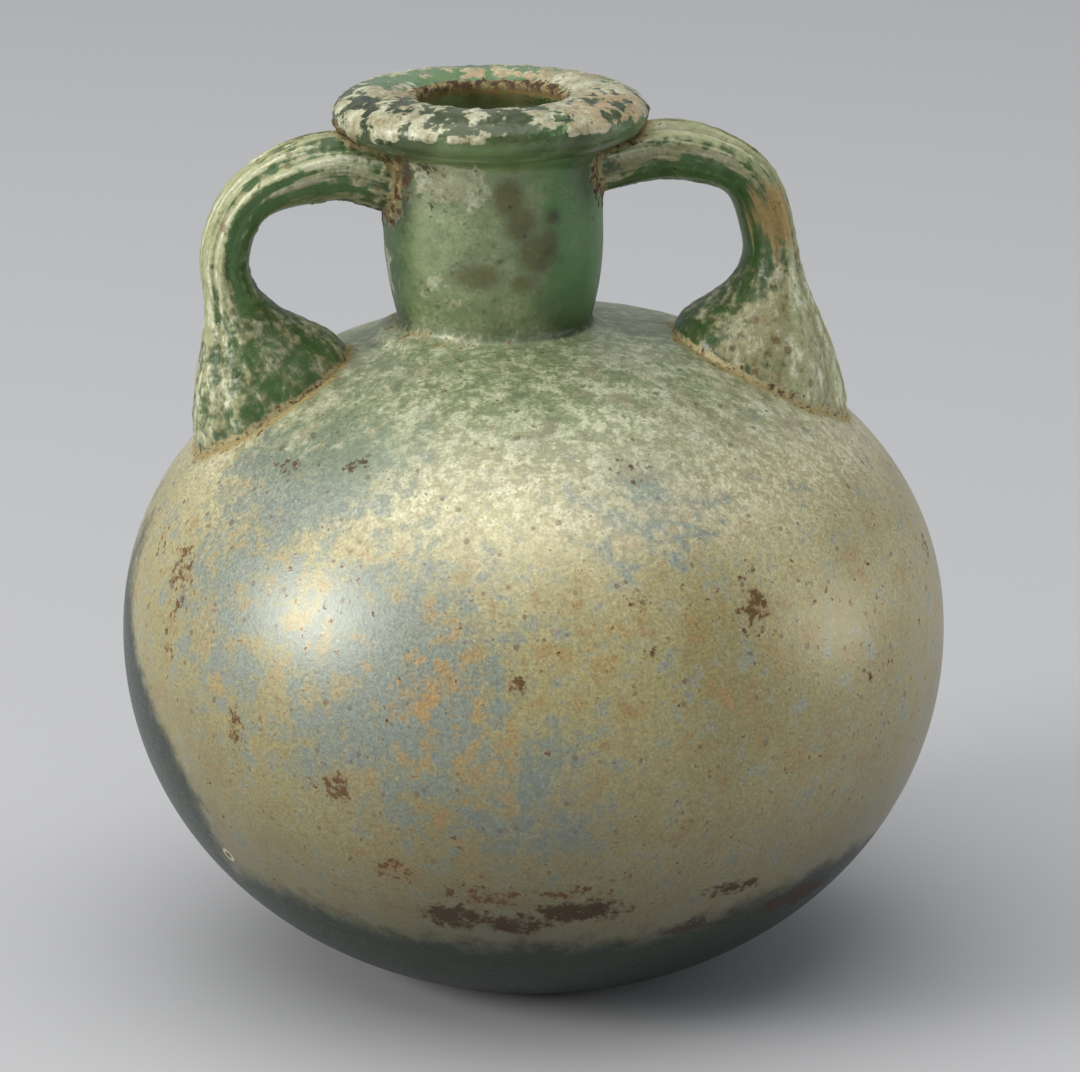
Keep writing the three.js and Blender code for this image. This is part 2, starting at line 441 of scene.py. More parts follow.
BROWN_STAINS = (
    Stain((21.3, -33.3, 47.0), (2.4, 3.0, 2.8), 0.8),
    Stain((21.0, -32.5, 50.5), (1.2, 3.0, 1.6), 0.6),
    Stain((-19.1, -37.0, 29.9), (2.0, 2.6, 2.0), 0.9),
    Stain((-34.8, -19.9, 46.5), (2.2, 4.0, 5.5), 0.75),
    Stain((-29.0, -30.3, 34.2), (1.2, 1.8, 3.6), 0.75),
    Stain((-23.8, -21.3, 57.6), (2.6, 3.0, 1.0), 0.7),
    Stain((-17.0, -24.4, 58.7), (2.4, 3.0, 1.2), 0.6),
    Stain((-1.3, -41.3, 41.4), (1.3, 1.6, 1.2), 0.9),
    Stain((10.1, -37.3, 48.9), (1.6, 2.0, 1.4), 0.6),
    Stain((11.6, -39.0, 44.0), (1.8, 2.0, 1.2), 0.5),
    Stain((9.3, -28.1, 59.2), (2.8, 2.6, 1.4), 0.6),
    Stain((-14.0, -36.9, 21.5), (3.6, 3.0, 1.8), 0.65),
    Stain((-5.2, -37.5, 19.2), (5.0, 4.0, 1.5), 0.75),
    Stain((3.5, -37.6, 19.6), (4.0, 4.0, 1.2), 0.7),
    Stain((14.5, -36.6, 21.5), (1.6, 3.0, 0.8), 0.6),
    Stain((39.4, -7.4, 45.8), (1.2, 2.0, 3.6), 0.6),
    Stain((33.0, -25.0, 38.5), (3.0, 4.0, 3.0), 0.40),
    Stain((-37.2, -14.0, 50.0), (2.0, 4.0, 4.5), 0.55),
    Stain((-32.5, -24.5, 52.0), (3.0, 4.0, 2.6), 0.50),
    Stain((-36.0, -20.5, 39.5), (1.6, 3.0, 3.0), 0.50),
)
DARK_BAND = (
    Stain((-7.5, -35.4, 16.3), (3.6, 3.4, 1.9), 0.9),
    Stain((-2.0, -35.6, 15.6), (4.0, 3.4, 1.5), 0.9),
    Stain((4.6, -36.3, 17.2), (5.0, 3.4, 1.4), 1.0),
    Stain((19.7, -32.1, 18.0), (4.6, 3.4, 1.0), 0.7),
    Stain((26.0, -23.0, 13.8), (6.0, 6.0, 1.5), 0.9),
    Stain((17.0, -30.0, 13.6), (6.0, 4.0, 1.2), 0.6),
)
GREY_FIELDS = (
    Stain((-14.0, -37.0, 42.0), (13.0, 14.0, 14.0), 1.0),
    Stain((-28.0, -27.0, 46.0), (10.0, 12.0, 12.0), 0.8),
    Stain((-1.0, -41.0, 30.0), (9.0, 8.0, 8.0), 0.8),
    Stain((12.0, -32.0, 56.5), (9.0, 9.0, 4.5), 0.7),
    # Strength raised partly so that the painted shade on the shoulder darkens its upper left.
    Stain((-22.0, -23.0, 57.5), (12.0, 10.0, 7.0), 1.3),
    Stain((22.0, 30.0, 44.0), (14.0, 12.0, 12.0), 0.7),
)
OCHRE_FIELDS = (
    Stain((-8.5, -40.0, 38.5), (8.0, 9.0, 9.0), 1.0),
    Stain((-8.5, -38.0, 27.0), (7.0, 9.0, 8.0), 0.8),
    Stain((5.4, -40.0, 43.5), (7.0, 6.0, 5.0), 0.75),
    Stain((15.9, -38.7, 38.0), (6.0, 6.0, 4.0), 0.7),
    Stain((-30.0, -29.0, 37.0), (3.0, 5.0, 5.0), 0.8),
    Stain((-12.0, -36.5, 22.0), (6.0, 6.0, 2.6), 0.9),
    Stain((11.0, -39.5, 44.5), (3.0, 4.0, 2.5), 0.6),
    Stain((8.0, -7.0, 90.0), (4.5, 6.0, 3.0), 1.0),
    Stain((-12.0, -4.0, 90.0), (3.0, 5.0, 3.0), 0.6),
    Stain((-4.3, 7.0, 90.4), (6.0, 3.5, 2.0), 1.2),
)


@dataclass(frozen=True)
class VesselSkin:
    """What burial left on the vessel: crust, film, soil, stains and places that came away bare.

    Each ramp runs over millimetres, over radians of turn from the front or over a cloudy value.
    """

    vessel: BlownVessel
    rim_margin: float = 0.6 * MM
    neck_crust_margin: float = 1.0 * MM
    neck_film_margin: float = 0.5 * MM
    floor_margin: float = 0.3 * MM
    crust_depth: float = 0.3 * MM
    skin_depth: float = 0.05 * MM
    sunk_share: float = 0.92
    even_share: float = 0.6
    seam_lift: float = 0.6
    seam_lift_start: float = 0.35

    cloud_size: float = 4.0 * MM
    cloud_octaves: int = 4
    fine_size: float = 1.3 * MM
    fine_octaves: int = 3
    cloud_weight: float = 0.5
    fine_weight: float = 0.35
    crust_border: float = 0.62
    crust_blur: float = 0.2

    rim_waves: float = 3.0
    rim_wave_height: float = 0.3 * MM
    rim_left_drop: Ramp = Ramp(0.5, 1.1, 0.0, 2.6)
    rim_left_end: Ramp = Ramp(2.6, 1.8)
    rim_right_rise: Ramp = Ramp(0.5, 1.2, 0.0, 0.3)
    rim_crust: Ramp = Ramp(0.2, 0.9, 0.50, 0.65)
    rim_border: Ramp = Ramp(-0.5, 0.4)
    neck_crust: Ramp = Ramp(6.0, 10.5, 0.0, 0.36)
    neck_patch_share: float = 0.9
    neck_fleck_share: float = 0.40
    shoulder_crust: Ramp = Ramp(0.0, 14.0, 0.36, 0.52)
    shoulder_crust_rise: Ramp = Ramp(55.0, 60.0)
    shoulder_crust_top: Ramp = Ramp(64.0, 67.0, 1.0, 0.6)
    thick_crust: float = 0.7
    thick_crust_rise: Ramp = Ramp(0.0, 1.5)

    rim_film: float = 0.18
    neck_film: float = 0.50
    neck_clear_film: float = 0.04
    neck_right: Ramp = Ramp(3.5, 8.0)
    neck_left: Ramp = Ramp(6.5, 9.5)
    neck_left_clear: float = 0.8
    neck_left_top: Ramp = Ramp(80.0, 85.0, 0.0, 0.2)
    stain_film: float = 0.4
    shoulder_film: Ramp = Ramp(56.0, 65.0, 1.0, 0.66)
    lining_bore: Ramp = Ramp(-3.0, 0.0)
    lining_right: Ramp = Ramp(1.0, 7.0)
    lining_film_body: float = 0.85
    lining_film_clear: float = 0.06

    bare_front: Ramp = Ramp(0.25, 1.0, 12.5, 17.5)
    bare_left_rise: Ramp = Ramp(0.30, 0.85, 0.0, 3.0)
    bare_waves: tuple[tuple[float, float, float], ...] = ((1.8, 2.3, 0.7), (0.9, 5.1, 0.0))
    bare_behind: Ramp = Ramp(0.9, 1.6)
    bare_edge: Ramp = Ramp(3.5, -3.5)
    lobe_start: Ramp = Ramp(22.0, 46.0, 0.95, 1.35)
    lobe_start_edge: Ramp = Ramp(-0.07, 0.13)
    lobe_end: Ramp = Ramp(14.0, 44.0, 2.5, 1.6)
    lobe_end_edge: Ramp = Ramp(0.6, -0.5)
    lobe_top: Ramp = Ramp(56.0, 42.0)
    lobe_thinning: Ramp = Ramp(1.3, 1.7, 1.0, 0.66)

    crevice_height: Ramp = Ramp(-3.0, -1.4)
    crevice_depth: Ramp = Ramp(-4.0, 2.0)
    stain_cloud: float = 0.35
    stain_edge: Ramp = Ramp(0.0, 0.7, 0.0, 0.71)
    foot_seam: float = 0.5
    foot_seam_start: float = 0.1
    foot_seam_side: Ramp = Ramp(2.0, 9.0, 0.8, 1.8)
    foot_seam_lean: float = 0.4
    mouth_seam_drop: float = 1.8 * MM
    mouth_seam_edge: Ramp = Ramp(1.3, 0.1)
    mouth_seam_depth: Ramp = Ramp(-4.0, 1.0)
    handle_seam_floor: float = 50.0 * MM
    handle_seam_reach: Ramp = Ramp(70.0, 76.0, 1.2, 2.6)
    seam_ragged: float = 0.3
    seam_least: float = 0.05

    def crust_share(self, place: Vector) -> float:
        """Share of the glass that thick crust covers round a place on the outside.

        Args:
            place: Point on the outside in metres.

        Returns:
            The share, from 0 to 1.
        """
        body = self.vessel
        if place.z > body.rim_underside - self.rim_margin:
            side = math.atan2(place.x - body.mouth_x, -place.y)
            border = body.rim_top - body.rim_widest_drop
            border += self.rim_wave_height * math.sin(side * self.rim_waves)
            border += self.rim_right_rise.at(side) * MM
            border -= self.rim_left_drop.at(-side) * self.rim_left_end.at(-side) * MM
            return self.rim_crust.at(side) * self.rim_border.at((place.z - border) / MM)
        if place.z > body.crown_height - self.neck_crust_margin:
            return max(self.neck_crust.at((body.mouth_x - place.x) / MM),
                       self.neck_patch_share * NECK_PATCH.share(place),
                       self.neck_fleck_share * NECK_FLECKS.share(place))
        height = place.z / MM
        return (self.shoulder_crust.at(place.x / MM) * self.shoulder_crust_rise.at(height)
                * self.shoulder_crust_top.at(height))

    def crust_weight(self, place: Vector) -> float:
        """How thick the crust is at a place, from a thin skin at 0 to lumps at 1."""
        on_rim = self.thick_crust_rise.at((place.z - self.vessel.rim_underside) / MM)
        return self.thick_crust * max(on_rim, NECK_PATCH.share(place))

    def film_share(self, place: Vector) -> float:
        """How closely the thin film of weathering covers the glass at a place on the outside.

        Args:
            place: Point on the outside in metres.

        Returns:
            The share, from 0 for clear glass to 1.
        """
        body, height = self.vessel, place.z / MM
        if place.z > body.rim_underside - self.rim_margin:
            return self.rim_film
        if place.z > body.crown_height - self.neck_film_margin:
            aside = (place.x - body.mouth_x) / MM
            left = self.neck_left.at(-aside)
            clear = max(self.neck_right.at(aside), self.neck_left_clear * left)
            film = lerp(self.neck_film, self.neck_clear_film, clear)
            film += left * self.neck_left_top.at(height)
            return film * (1.0 + self.stain_film * field_share(BORE_STAINS, place))
        return self.shoulder_film.at(height)

    def bare_share(self, place: Vector) -> float:
        """How much of the film has gone from the body: round the bottom and low on the left.

        Args:
            place: Point on the body in metres.

        Returns:
            The share, from 0 to 1.
        """
        side, height = math.atan2(-place.x, -place.y), place.z / MM
        waves = sum(rise * math.sin(side * turns + start) for rise, turns, start in self.bare_waves)
        border = self.bare_front.at(-side) + self.bare_left_rise.at(side)
        border += waves * self.bare_behind.at(abs(side))
        lobe = self.lobe_start_edge.at(side - self.lobe_start.at(height))
        lobe *= self.lobe_end_edge.at(side - self.lobe_end.at(height))
        lobe *= self.lobe_top.at(height) * self.lobe_thinning.at(side)
        return max(self.bare_edge.at(height - border), lobe)

    def lining_film(self, place: Vector) -> float:
        """How closely weathering lines the hollow: thinner on the right side of the bore.

        Args:
            place: Point inside in metres.

        Returns:
            The share, from 0 for clear glass to 1.
        """
        right = self.lining_right.at((place.x - self.vessel.mouth_x) / MM)
        in_bore = self.lining_bore.at((place.z - self.vessel.crown_height) / MM)
        return lerp(self.lining_film_body, self.lining_film_clear, right * in_bore)

    def lining_marks(self, place: Vector, cloud: float) -> float:
        """Darker marks inside: a dark line in the crevice under the lip, at the back, and brown
        stains down the bore.

        Args:
            place: Point inside in metres.
            cloud: Cloudy value there.

        Returns:
            The share of these marks, from 0 to 1.
        """
        crevice = self.crevice_height.at((place.z - self.vessel.rim_top) / MM)
        crevice *= self.crevice_depth.at(place.y / MM)
        stain = field_share(BORE_STAINS, place) + self.stain_cloud * cloud
        return max(crevice, self.stain_edge.at(stain))

    def seam_soil(self, place: Vector, handles: list[BVHTree], fine: float) -> float:
        """Soil and flaking crust along the joins with the handles and round the neck's foot.

        Args:
            place: Point on the outside in metres.
            handles: Surfaces of the handles.
            fine: Fine cloudy value there.

        Returns:
            The share of soil, from 0 to 1.
        """
        body = self.vessel
        aside = place.x - body.neck_side_shift
        ring = max(math.hypot(aside, place.y) - body.neck_foot_radius, 0.0)
        rise = abs(place.z - body.shoulder_height(body.neck_foot_radius))
        seam = Ramp(self.foot_seam_start, self.foot_seam_side.at(-aside / MM), self.foot_seam, 0.0)
        soil = seam.at((rise + ring * self.foot_seam_lean) / MM)
        # Round the inner edge of the mouth, towards the back: a darker line.
        if place.z > body.rim_top - self.mouth_seam_drop:
            ring = math.hypot(place.x - body.mouth_x, place.y) - body.mouth_radius
            soil = self.mouth_seam_edge.at(ring / MM) * self.mouth_seam_depth.at(place.y / MM)
        elif place.z > self.handle_seam_floor:
            reach = self.handle_seam_reach.at(place.z / MM) * MM
            for surface in handles:
                found = surface.find_nearest(place, reach)
                if found[0] is not None:
                    soil = max(soil, 1.0 - found[3] / reach)
        ragged = self.seam_ragged * fine if soil > self.seam_least else 0.0
        return min(max(soil + ragged, 0.0), 1.0)

    def outside_marks(self, place: Vector, handles: list[BVHTree],
                      fine: float) -> dict[Mark, float]:
        """What lies on a point of the outside, apart from its crust.

        Args:
            place: Point on the outside in metres.
            handles: Surfaces of the handles.
            fine: Fine cloudy value there.

        Returns:
            The share of each mark that there is.
        """
        marks = {
            Mark.FILM: self.film_share(place),
            Mark.SOIL: self.seam_soil(place, handles, fine),
            Mark.OCHRE: field_share(OCHRE_FIELDS, place),
        }
        if place.z < self.vessel.crown_height:
            marks[Mark.BROWN] = field_share(BROWN_STAINS, place)
            marks[Mark.DARK] = field_share(DARK_BAND, place)
            marks[Mark.GREY] = field_share(GREY_FIELDS, place)
            marks[Mark.BARE] = self.bare_share(place)
        else:
            bore_place = place + Vector((0.0, self.vessel.neck_wall, 0.0))
            marks[Mark.BROWN] = field_share(NECK_RUST, place)
            marks[Mark.DARK] = field_share(BORE_STAINS, bore_place)
        return marks

    def raised(self, place: Vector, share: float, soil: float,
               clouds: tuple[float, float]) -> float:
        """How far crust and soil lift the surface.

        Args:
            place: Point on the outside in metres.
            share: How much crust there is.
            soil: How much soil there is.
            clouds: Cloudy value and fine cloudy value there.

        Returns:
            The lift in metres, a little negative where nothing lies.
        """
        cloud, fine = clouds
        weight = self.crust_weight(place)
        uneven = self.even_share + (1.0 - self.even_share) * lerp(cloud, fine, weight)
        depth = lerp(self.skin_depth, self.crust_depth, weight)
        lift = depth * (share * uneven - self.sunk_share)
        heap = max(soil - self.seam_lift_start, 0.0) * (1.0 + fine)
        return lift + self.crust_depth * self.seam_lift * heap

    def weather(self, mesh: bmesh.types.BMesh, handles: list[BVHTree]) -> None:
        """Raises the crust out of the surface and marks what lies on every vertex.

        Args:
            mesh: The smooth vessel.
            handles: Surfaces of the handles, whose joins hold soil.
        """
        mesh.normal_update()
        lining = mesh.verts.layers.float[Mark.LINING.value]
        layers = {mark: mesh.verts.layers.float.new(mark.value) for mark in VESSEL_MARKS}
        moves = []
        for vertex in mesh.verts:
            place, lift = vertex.co, 0.0
            cloud = roughness_at(place, self.cloud_size, self.cloud_octaves)
            if vertex[lining] > 0.0:
                marks = {Mark.FILM: self.lining_film(place), Mark.BARE: self.bare_share(place),
                         Mark.SOIL: self.lining_marks(place, cloud)}
            else:
                fine = roughness_at(place + NOISE_OFFSET, self.fine_size, self.fine_octaves)
                marks = self.outside_marks(place, handles, fine)
                border = self.crust_border * (1.0 - 2.0 * self.crust_share(place))
                pattern = self.cloud_weight * cloud + self.fine_weight * fine
                marks[Mark.CRUST] = smoothstep(pattern, border - self.crust_blur,
                                               border + self.crust_blur)
                lift = self.raised(place, marks[Mark.CRUST], marks[Mark.SOIL], (cloud, fine))
            for mark, layer in layers.items():
                vertex[layer] = marks.get(mark, 0.0)
            moves.append(vertex.normal * lift)
        for vertex, move in zip(mesh.verts, moves):
            if vertex.co.z > self.floor_margin:
                vertex.co += move
                vertex.co.z = min(vertex.co.z, self.vessel.rim_top)


# Handles


@dataclass
class StrapLine:
    """A smooth line through a handle's points, measured along its length."""

    points: list[Vector]
    span_steps: int = 48
    places: list[Vector] = field(default_factory=list)
    lengths: list[float] = field(default_factory=list)

    def __post_init__(self) -> None:
        """Runs a centripetal curve through the points."""
        first, last = self.points[0], self.points[-1]
        chain = [2 * first - self.points[1], *self.points, 2 * last - self.points[-2]]
        for before, start, end, after in zip(chain, chain[1:], chain[2:], chain[3:]):
            gaps = [(b - a).length ** 0.5 for a, b in ((before, start), (start, end), (end, after))]
            leave = gaps[1] * ((start - before) / gaps[0] - (end - before) / (gaps[0] + gaps[1])
                               + (end - start) / gaps[1])
            arrive = gaps[1] * ((end - start) / gaps[1] - (after - start) / (gaps[1] + gaps[2])
                                + (after - end) / gaps[2])
            span = interpolate_bezier(start, start + leave / 3, end - arrive / 3, end,
                                      self.span_steps + 1)
            self.places += span if not self.places else span[1:]
        self.lengths = [0.0]
        for a, b in zip(self.places, self.places[1:]):
            self.lengths.append(self.lengths[-1] + (b - a).length)

    def at(self, way: float) -> tuple[Vector, Vector]:
        """Looks up a spot of the line.

        Args:
            way: Share of the line's length, from 0 to 1.

        Returns:
            The place and the direction there.
        """
        goal = way * self.lengths[-1]
        i = 0
        while i < len(self.lengths) - 2 and self.lengths[i + 1] < goal:
            i += 1
        share = (goal - self.lengths[i]) / (self.lengths[i + 1] - self.lengths[i])
        low, high = max(i - 1, 0), min(i + 2, len(self.places) - 1)
        along = (self.places[high] - self.places[low]).normalized()
        return self.places[i].lerp(self.places[i + 1], share), along


@dataclass(frozen=True)
class ReededHandle:
    """A hot strap of glass with reeds, set down as a splayed foot and drawn up to the neck."""

    name: str
    node: str
    azimuth: float
    strap_width: float
    strap_thickness: float
    wrist_thickness: float
    turn: float
    foot_inset: float
    foot_length: float
    foot_width: float
    ankle: tuple[float, float]
    knee: tuple[float, float]
    elbow: tuple[float, float]
    wrist: tuple[float, float]
    neck_end_drop: float
    root_depth: float = 2.0 * MM
    reed_depth: float = 0.5 * MM
    reed_count: int = 4
    knee_way: float = 0.41
    around_steps: int = 128
    along_steps: int = 300
    crust_depth: float = 0.16 * MM
    ridge_depth: float = 0.08 * MM
    streak_pull: float = 0.10
    foot_crust: float = 0.0
    flare_sharpness: float = 1.3
    wrist_way: Ramp = Ramp(0.55, 0.8)
    crust_base: float = 0.46
    crust_least: float = 0.05
    outer_crust: float = 0.26
    upper_crust: float = 0.24
    inner_crust: float = -0.34
    under_crust: float = -0.20
    reed_crust: float = 0.10
    foot_crust_way: Ramp = Ramp(0.40, 0.15)
    foot_crust_side: Ramp = Ramp(-0.45, 0.0)
    foot_way: Ramp = Ramp(0.42, 0.22)
    crust_border: float = 0.62
    crust_blur: Ramp = Ramp(0.42, 0.22, 0.3, 0.6)
    streak_weight: float = 0.7
    smear_weights: tuple[float, float] = (0.4, 0.25)
    fine_weight: float = 0.4
    streak_scale: float = 0.8
    streak_noise: tuple[float, float, int] = (0.7, 2.2, 4)
    cloud_size: float = 3.0 * MM
    fine_size: float = 1.0 * MM
    octaves: int = 3
    even_share: float = 0.6
    sunk_share: float = 0.5
    seam_range: float = 6.0 * MM
    seam_edge: Ramp = Ramp(0.1, 1.2, 1.0, 0.0)
    seam_ragged: float = 0.35
    ridge_turns: float = 4.6
    ridge_waver: float = 0.8
    ridge_side: Ramp = Ramp(-0.2, 0.5)

    def line(self, vessel: BlownVessel) -> StrapLine:
        """Middle line in the handle's own plane.

        Args:
            vessel: The vessel that it stands on.

        Returns:
            The line, with the reach from the axis as X and the height as Z.
        """
        reach = vessel.body_radius - self.foot_inset
        height, under = vessel.shoulder_height(reach), vessel.rim_underside
        side = math.copysign(1.0, math.cos(self.azimuth))
        neck = vessel.neck_radius + vessel.neck_side_shift * side
        spots = [
            (reach, height - self.root_depth),
            (reach + self.ankle[0], height + self.ankle[1]),
            (reach + self.knee[0], under - self.knee[1]),
            (reach + self.elbow[0], under - self.elbow[1]),
            (neck + self.wrist[0], under - self.wrist[1]),
            (neck - vessel.neck_wall / 2, under - self.neck_end_drop),
        ]
        return StrapLine([Vector((x, 0.0, z)) for x, z in spots])

    def section(self, angle: float, way: float) -> Vector:
        """Point of the strap's section: reeds on its outer side, smooth towards the loop.

        Args:
            angle: Angle round the section.
            way: Share of the way along the strap.

        Returns:
            The point, with the breadth as X and the thickness as Y.
        """
        flare = (1.0 + math.cos(math.pi * min(way / self.knee_way, 1.0))) / 2
        flare **= self.flare_sharpness
        strap = lerp(self.strap_thickness, self.wrist_thickness, self.wrist_way.at(way))
        thick = lerp(strap, self.foot_length, flare) / 2
        wide = lerp(self.strap_width, self.foot_width, flare) / 2
        reed = self.reed_depth * (self.reed_height(angle) - 0.5)
        return Vector(((wide + reed) * math.cos(angle), (thick + reed) * math.sin(angle)))

    def reed_height(self, angle: float) -> float:
        """Height of the reeds round the section, from 0 in a valley to 1 on a crest."""
        return max(math.sin(angle), 0.0) ** 0.5 * abs(math.sin(angle * self.reed_count))

    def bent(self, vessel: BlownVessel) -> bmesh.types.BMesh:
        """Bends the handle along its line and turns it into its place.

        Args:
            vessel: The vessel that it stands on.

        Returns:
            One closed strap, marked with its reeds and its run.
        """
        mesh = bmesh.new()
        bmesh.ops.create_cone(mesh, cap_ends=True, segments=self.around_steps, radius1=1.0,
                              radius2=1.0, depth=1.0)
        bmesh.ops.translate(mesh, verts=mesh.verts, vec=(0.0, 0.0, 0.5))
        long_edges = [e for e in mesh.edges if abs(e.verts[0].co.z - e.verts[1].co.z) > 0.5]
        bmesh.ops.subdivide_edges(mesh, edges=long_edges, cuts=self.along_steps - 1,
                                  use_grid_fill=True)
        reed_mark = mesh.verts.layers.float.new(Mark.REED.value)
        strap_mark = mesh.verts.layers.float_vector.new(Mark.STRAP.value)
        line = self.line(vessel)
        length = line.lengths[-1]
        step = self.foot_length / 2
        reach = vessel.body_radius - self.foot_inset
        fall = vessel.shoulder_height(reach + step) - vessel.shoulder_height(reach - step)
        sole = Vector((2 * step, 0.0, fall)).normalized()
        stations = {}
        for vertex in mesh.verts:
            way = vertex.co.z
            key = round(way * self.along_steps)
            if key not in stations:
                stations[key] = line.at(way)
            middle, along = stations[key]
            angle = math.atan2(vertex.co.y, vertex.co.x)
            twist = self.turn * math.sin(math.pi * way)
            flat = self.section(angle, way)
            flat.rotate(Matrix.Rotation(twist, 2))
            across = Vector((along.z, 0.0, -along.x))
            outward = sole.lerp(across, smoothstep(way, 0.0, self.knee_way)).normalized()
            vertex[reed_mark] = self.reed_height(angle)
            vertex[strap_mark] = Vector((flat.x, flat.y, way * length * self.streak_pull)) / MM
            vertex.co = middle + outward * flat.y - Vector((0.0, flat.x, 0.0))
        bmesh.ops.rotate(mesh, verts=mesh.verts, cent=(0.0, 0.0, 0.0),
                         matrix=Matrix.Rotation(self.azimuth, 3, "Z"))
        bmesh.ops.recalc_face_normals(mesh, faces=mesh.faces)
        return mesh

    def settle(self, mesh: bmesh.types.BMesh, vessel: BlownVessel, bedding: float) -> None:
        """Draws what lies deep under the vessel's skin up to a thin bed in it.

        Args:
            mesh: The bent handle.
            vessel: The vessel that it stands on.
            bedding: Depth of the bed in metres.
        """
        for vertex in mesh.verts:
            place = vertex.co
            reach = math.hypot(place.x, place.y)
            skin = vessel.shoulder_height(reach) - bedding
            if place.z < skin and place.z < vessel.crown_height:
                place.z = skin

    def crust_share(self, outward: float, upward: float, reed: float, way: float) -> float:
        """Share of the strap that crust covers round a place.

        Args:
            outward: How far the surface faces out from the vessel, from -1 to 1.
            upward: How far it faces up, from -1 to 1.
            reed: Height of the reeds there.
            way: Share of the way along the strap.

        Returns:
            The share.
        """
        share = self.crust_base + self.outer_crust * max(outward, 0.0)
        share += self.upper_crust * max(upward, 0.0) + self.inner_crust * max(-outward, 0.0)
        share += self.under_crust * max(-upward, 0.0) + self.reed_crust * reed * max(outward, 0.0)
        share += self.foot_crust * self.foot_crust_way.at(way) * self.foot_crust_side.at(outward)
        return max(share, self.crust_least)

    def weather(self, mesh: bmesh.types.BMesh, vessel_sizes: BlownVessel, vessel: BVHTree) -> None:
        """Raises the crust on the reeds and marks what lies on every vertex.

        Args:
            mesh: The bent handle.
            vessel_sizes: The vessel that the handle stands on.
            vessel: Surface of the smooth vessel, whose joins hold soil.
        """
        mesh.normal_update()
        reed = mesh.verts.layers.float[Mark.REED.value]
        strap = mesh.verts.layers.float_vector[Mark.STRAP.value]
        crust_mark = mesh.verts.layers.float.new(Mark.CRUST.value)
        soil_mark = mesh.verts.layers.float.new(Mark.SOIL.value)
        turn = Matrix.Rotation(-self.azimuth, 3, "Z")
        length = self.line(vessel_sizes).lengths[-1]
        moves = []
        for vertex in mesh.verts:
            place = vertex.co
            outward = (turn @ vertex.normal).x
            streak = noise.fractal(vertex[strap] * self.streak_scale, *self.streak_noise)
            fine = roughness_at(place + NOISE_OFFSET, self.fine_size, self.octaves)
            found = vessel.find_nearest(place, self.seam_range)
            gap = found[3] if found[0] is not None else self.seam_range
            way = vertex[strap].z * MM / (self.streak_pull * length)
            share = self.crust_share(outward, vertex.normal.z, vertex[reed], way)
            border = self.crust_border * (1.0 - 2.0 * share)
            foot, blur = self.foot_way.at(way), self.crust_blur.at(way)
            cloud = roughness_at(place, self.cloud_size, self.octaves)
            smear = self.smear_weights[0] * streak + self.smear_weights[1] * cloud
            pattern = lerp(self.streak_weight * streak, smear, foot) + self.fine_weight * fine
            crust = smoothstep(pattern, border - blur, border + blur)
            soil = self.seam_edge.at(gap / MM)
            ragged = self.seam_ragged * fine if soil > 0.0 else 0.0
            vertex[crust_mark] = crust
            vertex[soil_mark] = min(max(soil + ragged, 0.0), 1.0)
            ridges = math.sin(vertex[strap].x * self.ridge_turns + self.ridge_waver * streak)
            ridges *= self.ridge_depth * self.ridge_side.at(outward) * (1.0 - foot)
            uneven = self.even_share + (1.0 - self.even_share) * fine
            lift = self.crust_depth * (crust * uneven - self.sunk_share)
            moves.append(vertex.normal * (lift + ridges))
        for vertex, move in zip(mesh.verts, moves):
            vertex.co += move


def left_handle() -> ReededHandle:
    """Sets the left handle's sizes: its ribs face the side, its smooth flank the front.

    Returns:
        The handle.
    """
    return ReededHandle(
        name="left_handle", node="handle_left", azimuth=math.radians(189.0),
        strap_width=7.6 * MM, strap_thickness=5.0 * MM, wrist_thickness=7.0 * MM, turn=0.0,
        foot_inset=15.8 * MM, foot_length=18.6 * MM, foot_width=16.4 * MM,
        ankle=(3.2 * MM, 6.4 * MM), knee=(4.7 * MM, 11.2 * MM), elbow=(2.2 * MM, 5.3 * MM),
        wrist=(5.0 * MM, 2.3 * MM), neck_end_drop=3.9 * MM, foot_crust=-0.16,
    )


def right_handle() -> ReededHandle:
    """Sets the right handle's sizes: it is turned so that its ribs show from the front.

    Returns:
        The handle.
    """
    return ReededHandle(
        name="right_handle", node="handle_right", azimuth=math.radians(1.0),
        strap_width=7.8 * MM, strap_thickness=5.0 * MM, wrist_thickness=6.2 * MM,
        turn=math.radians(22.0),
        foot_inset=19.3 * MM, foot_length=20.0 * MM, foot_width=18.8 * MM,
        ankle=(0.9 * MM, 6.0 * MM), knee=(0.6 * MM, 9.6 * MM), elbow=(-1.7 * MM, 4.0 * MM),
        wrist=(6.8 * MM, 1.3 * MM), neck_end_drop=2.6 * MM, foot_crust=0.42,
    )


# Materials


@dataclass(frozen=True)
class Tear:
    """How clouds tear a patch: how far they pull its amount, and where its border lies."""

    pull: float
    border: float
    edge: float


@dataclass(frozen=True)
class Cloud:
    """Cloudy noise: size of its largest clouds in millimetres, finer layers and their strength."""

    size: float
    detail: float
    roughness: float


NOISE_MIDDLE = 0.5


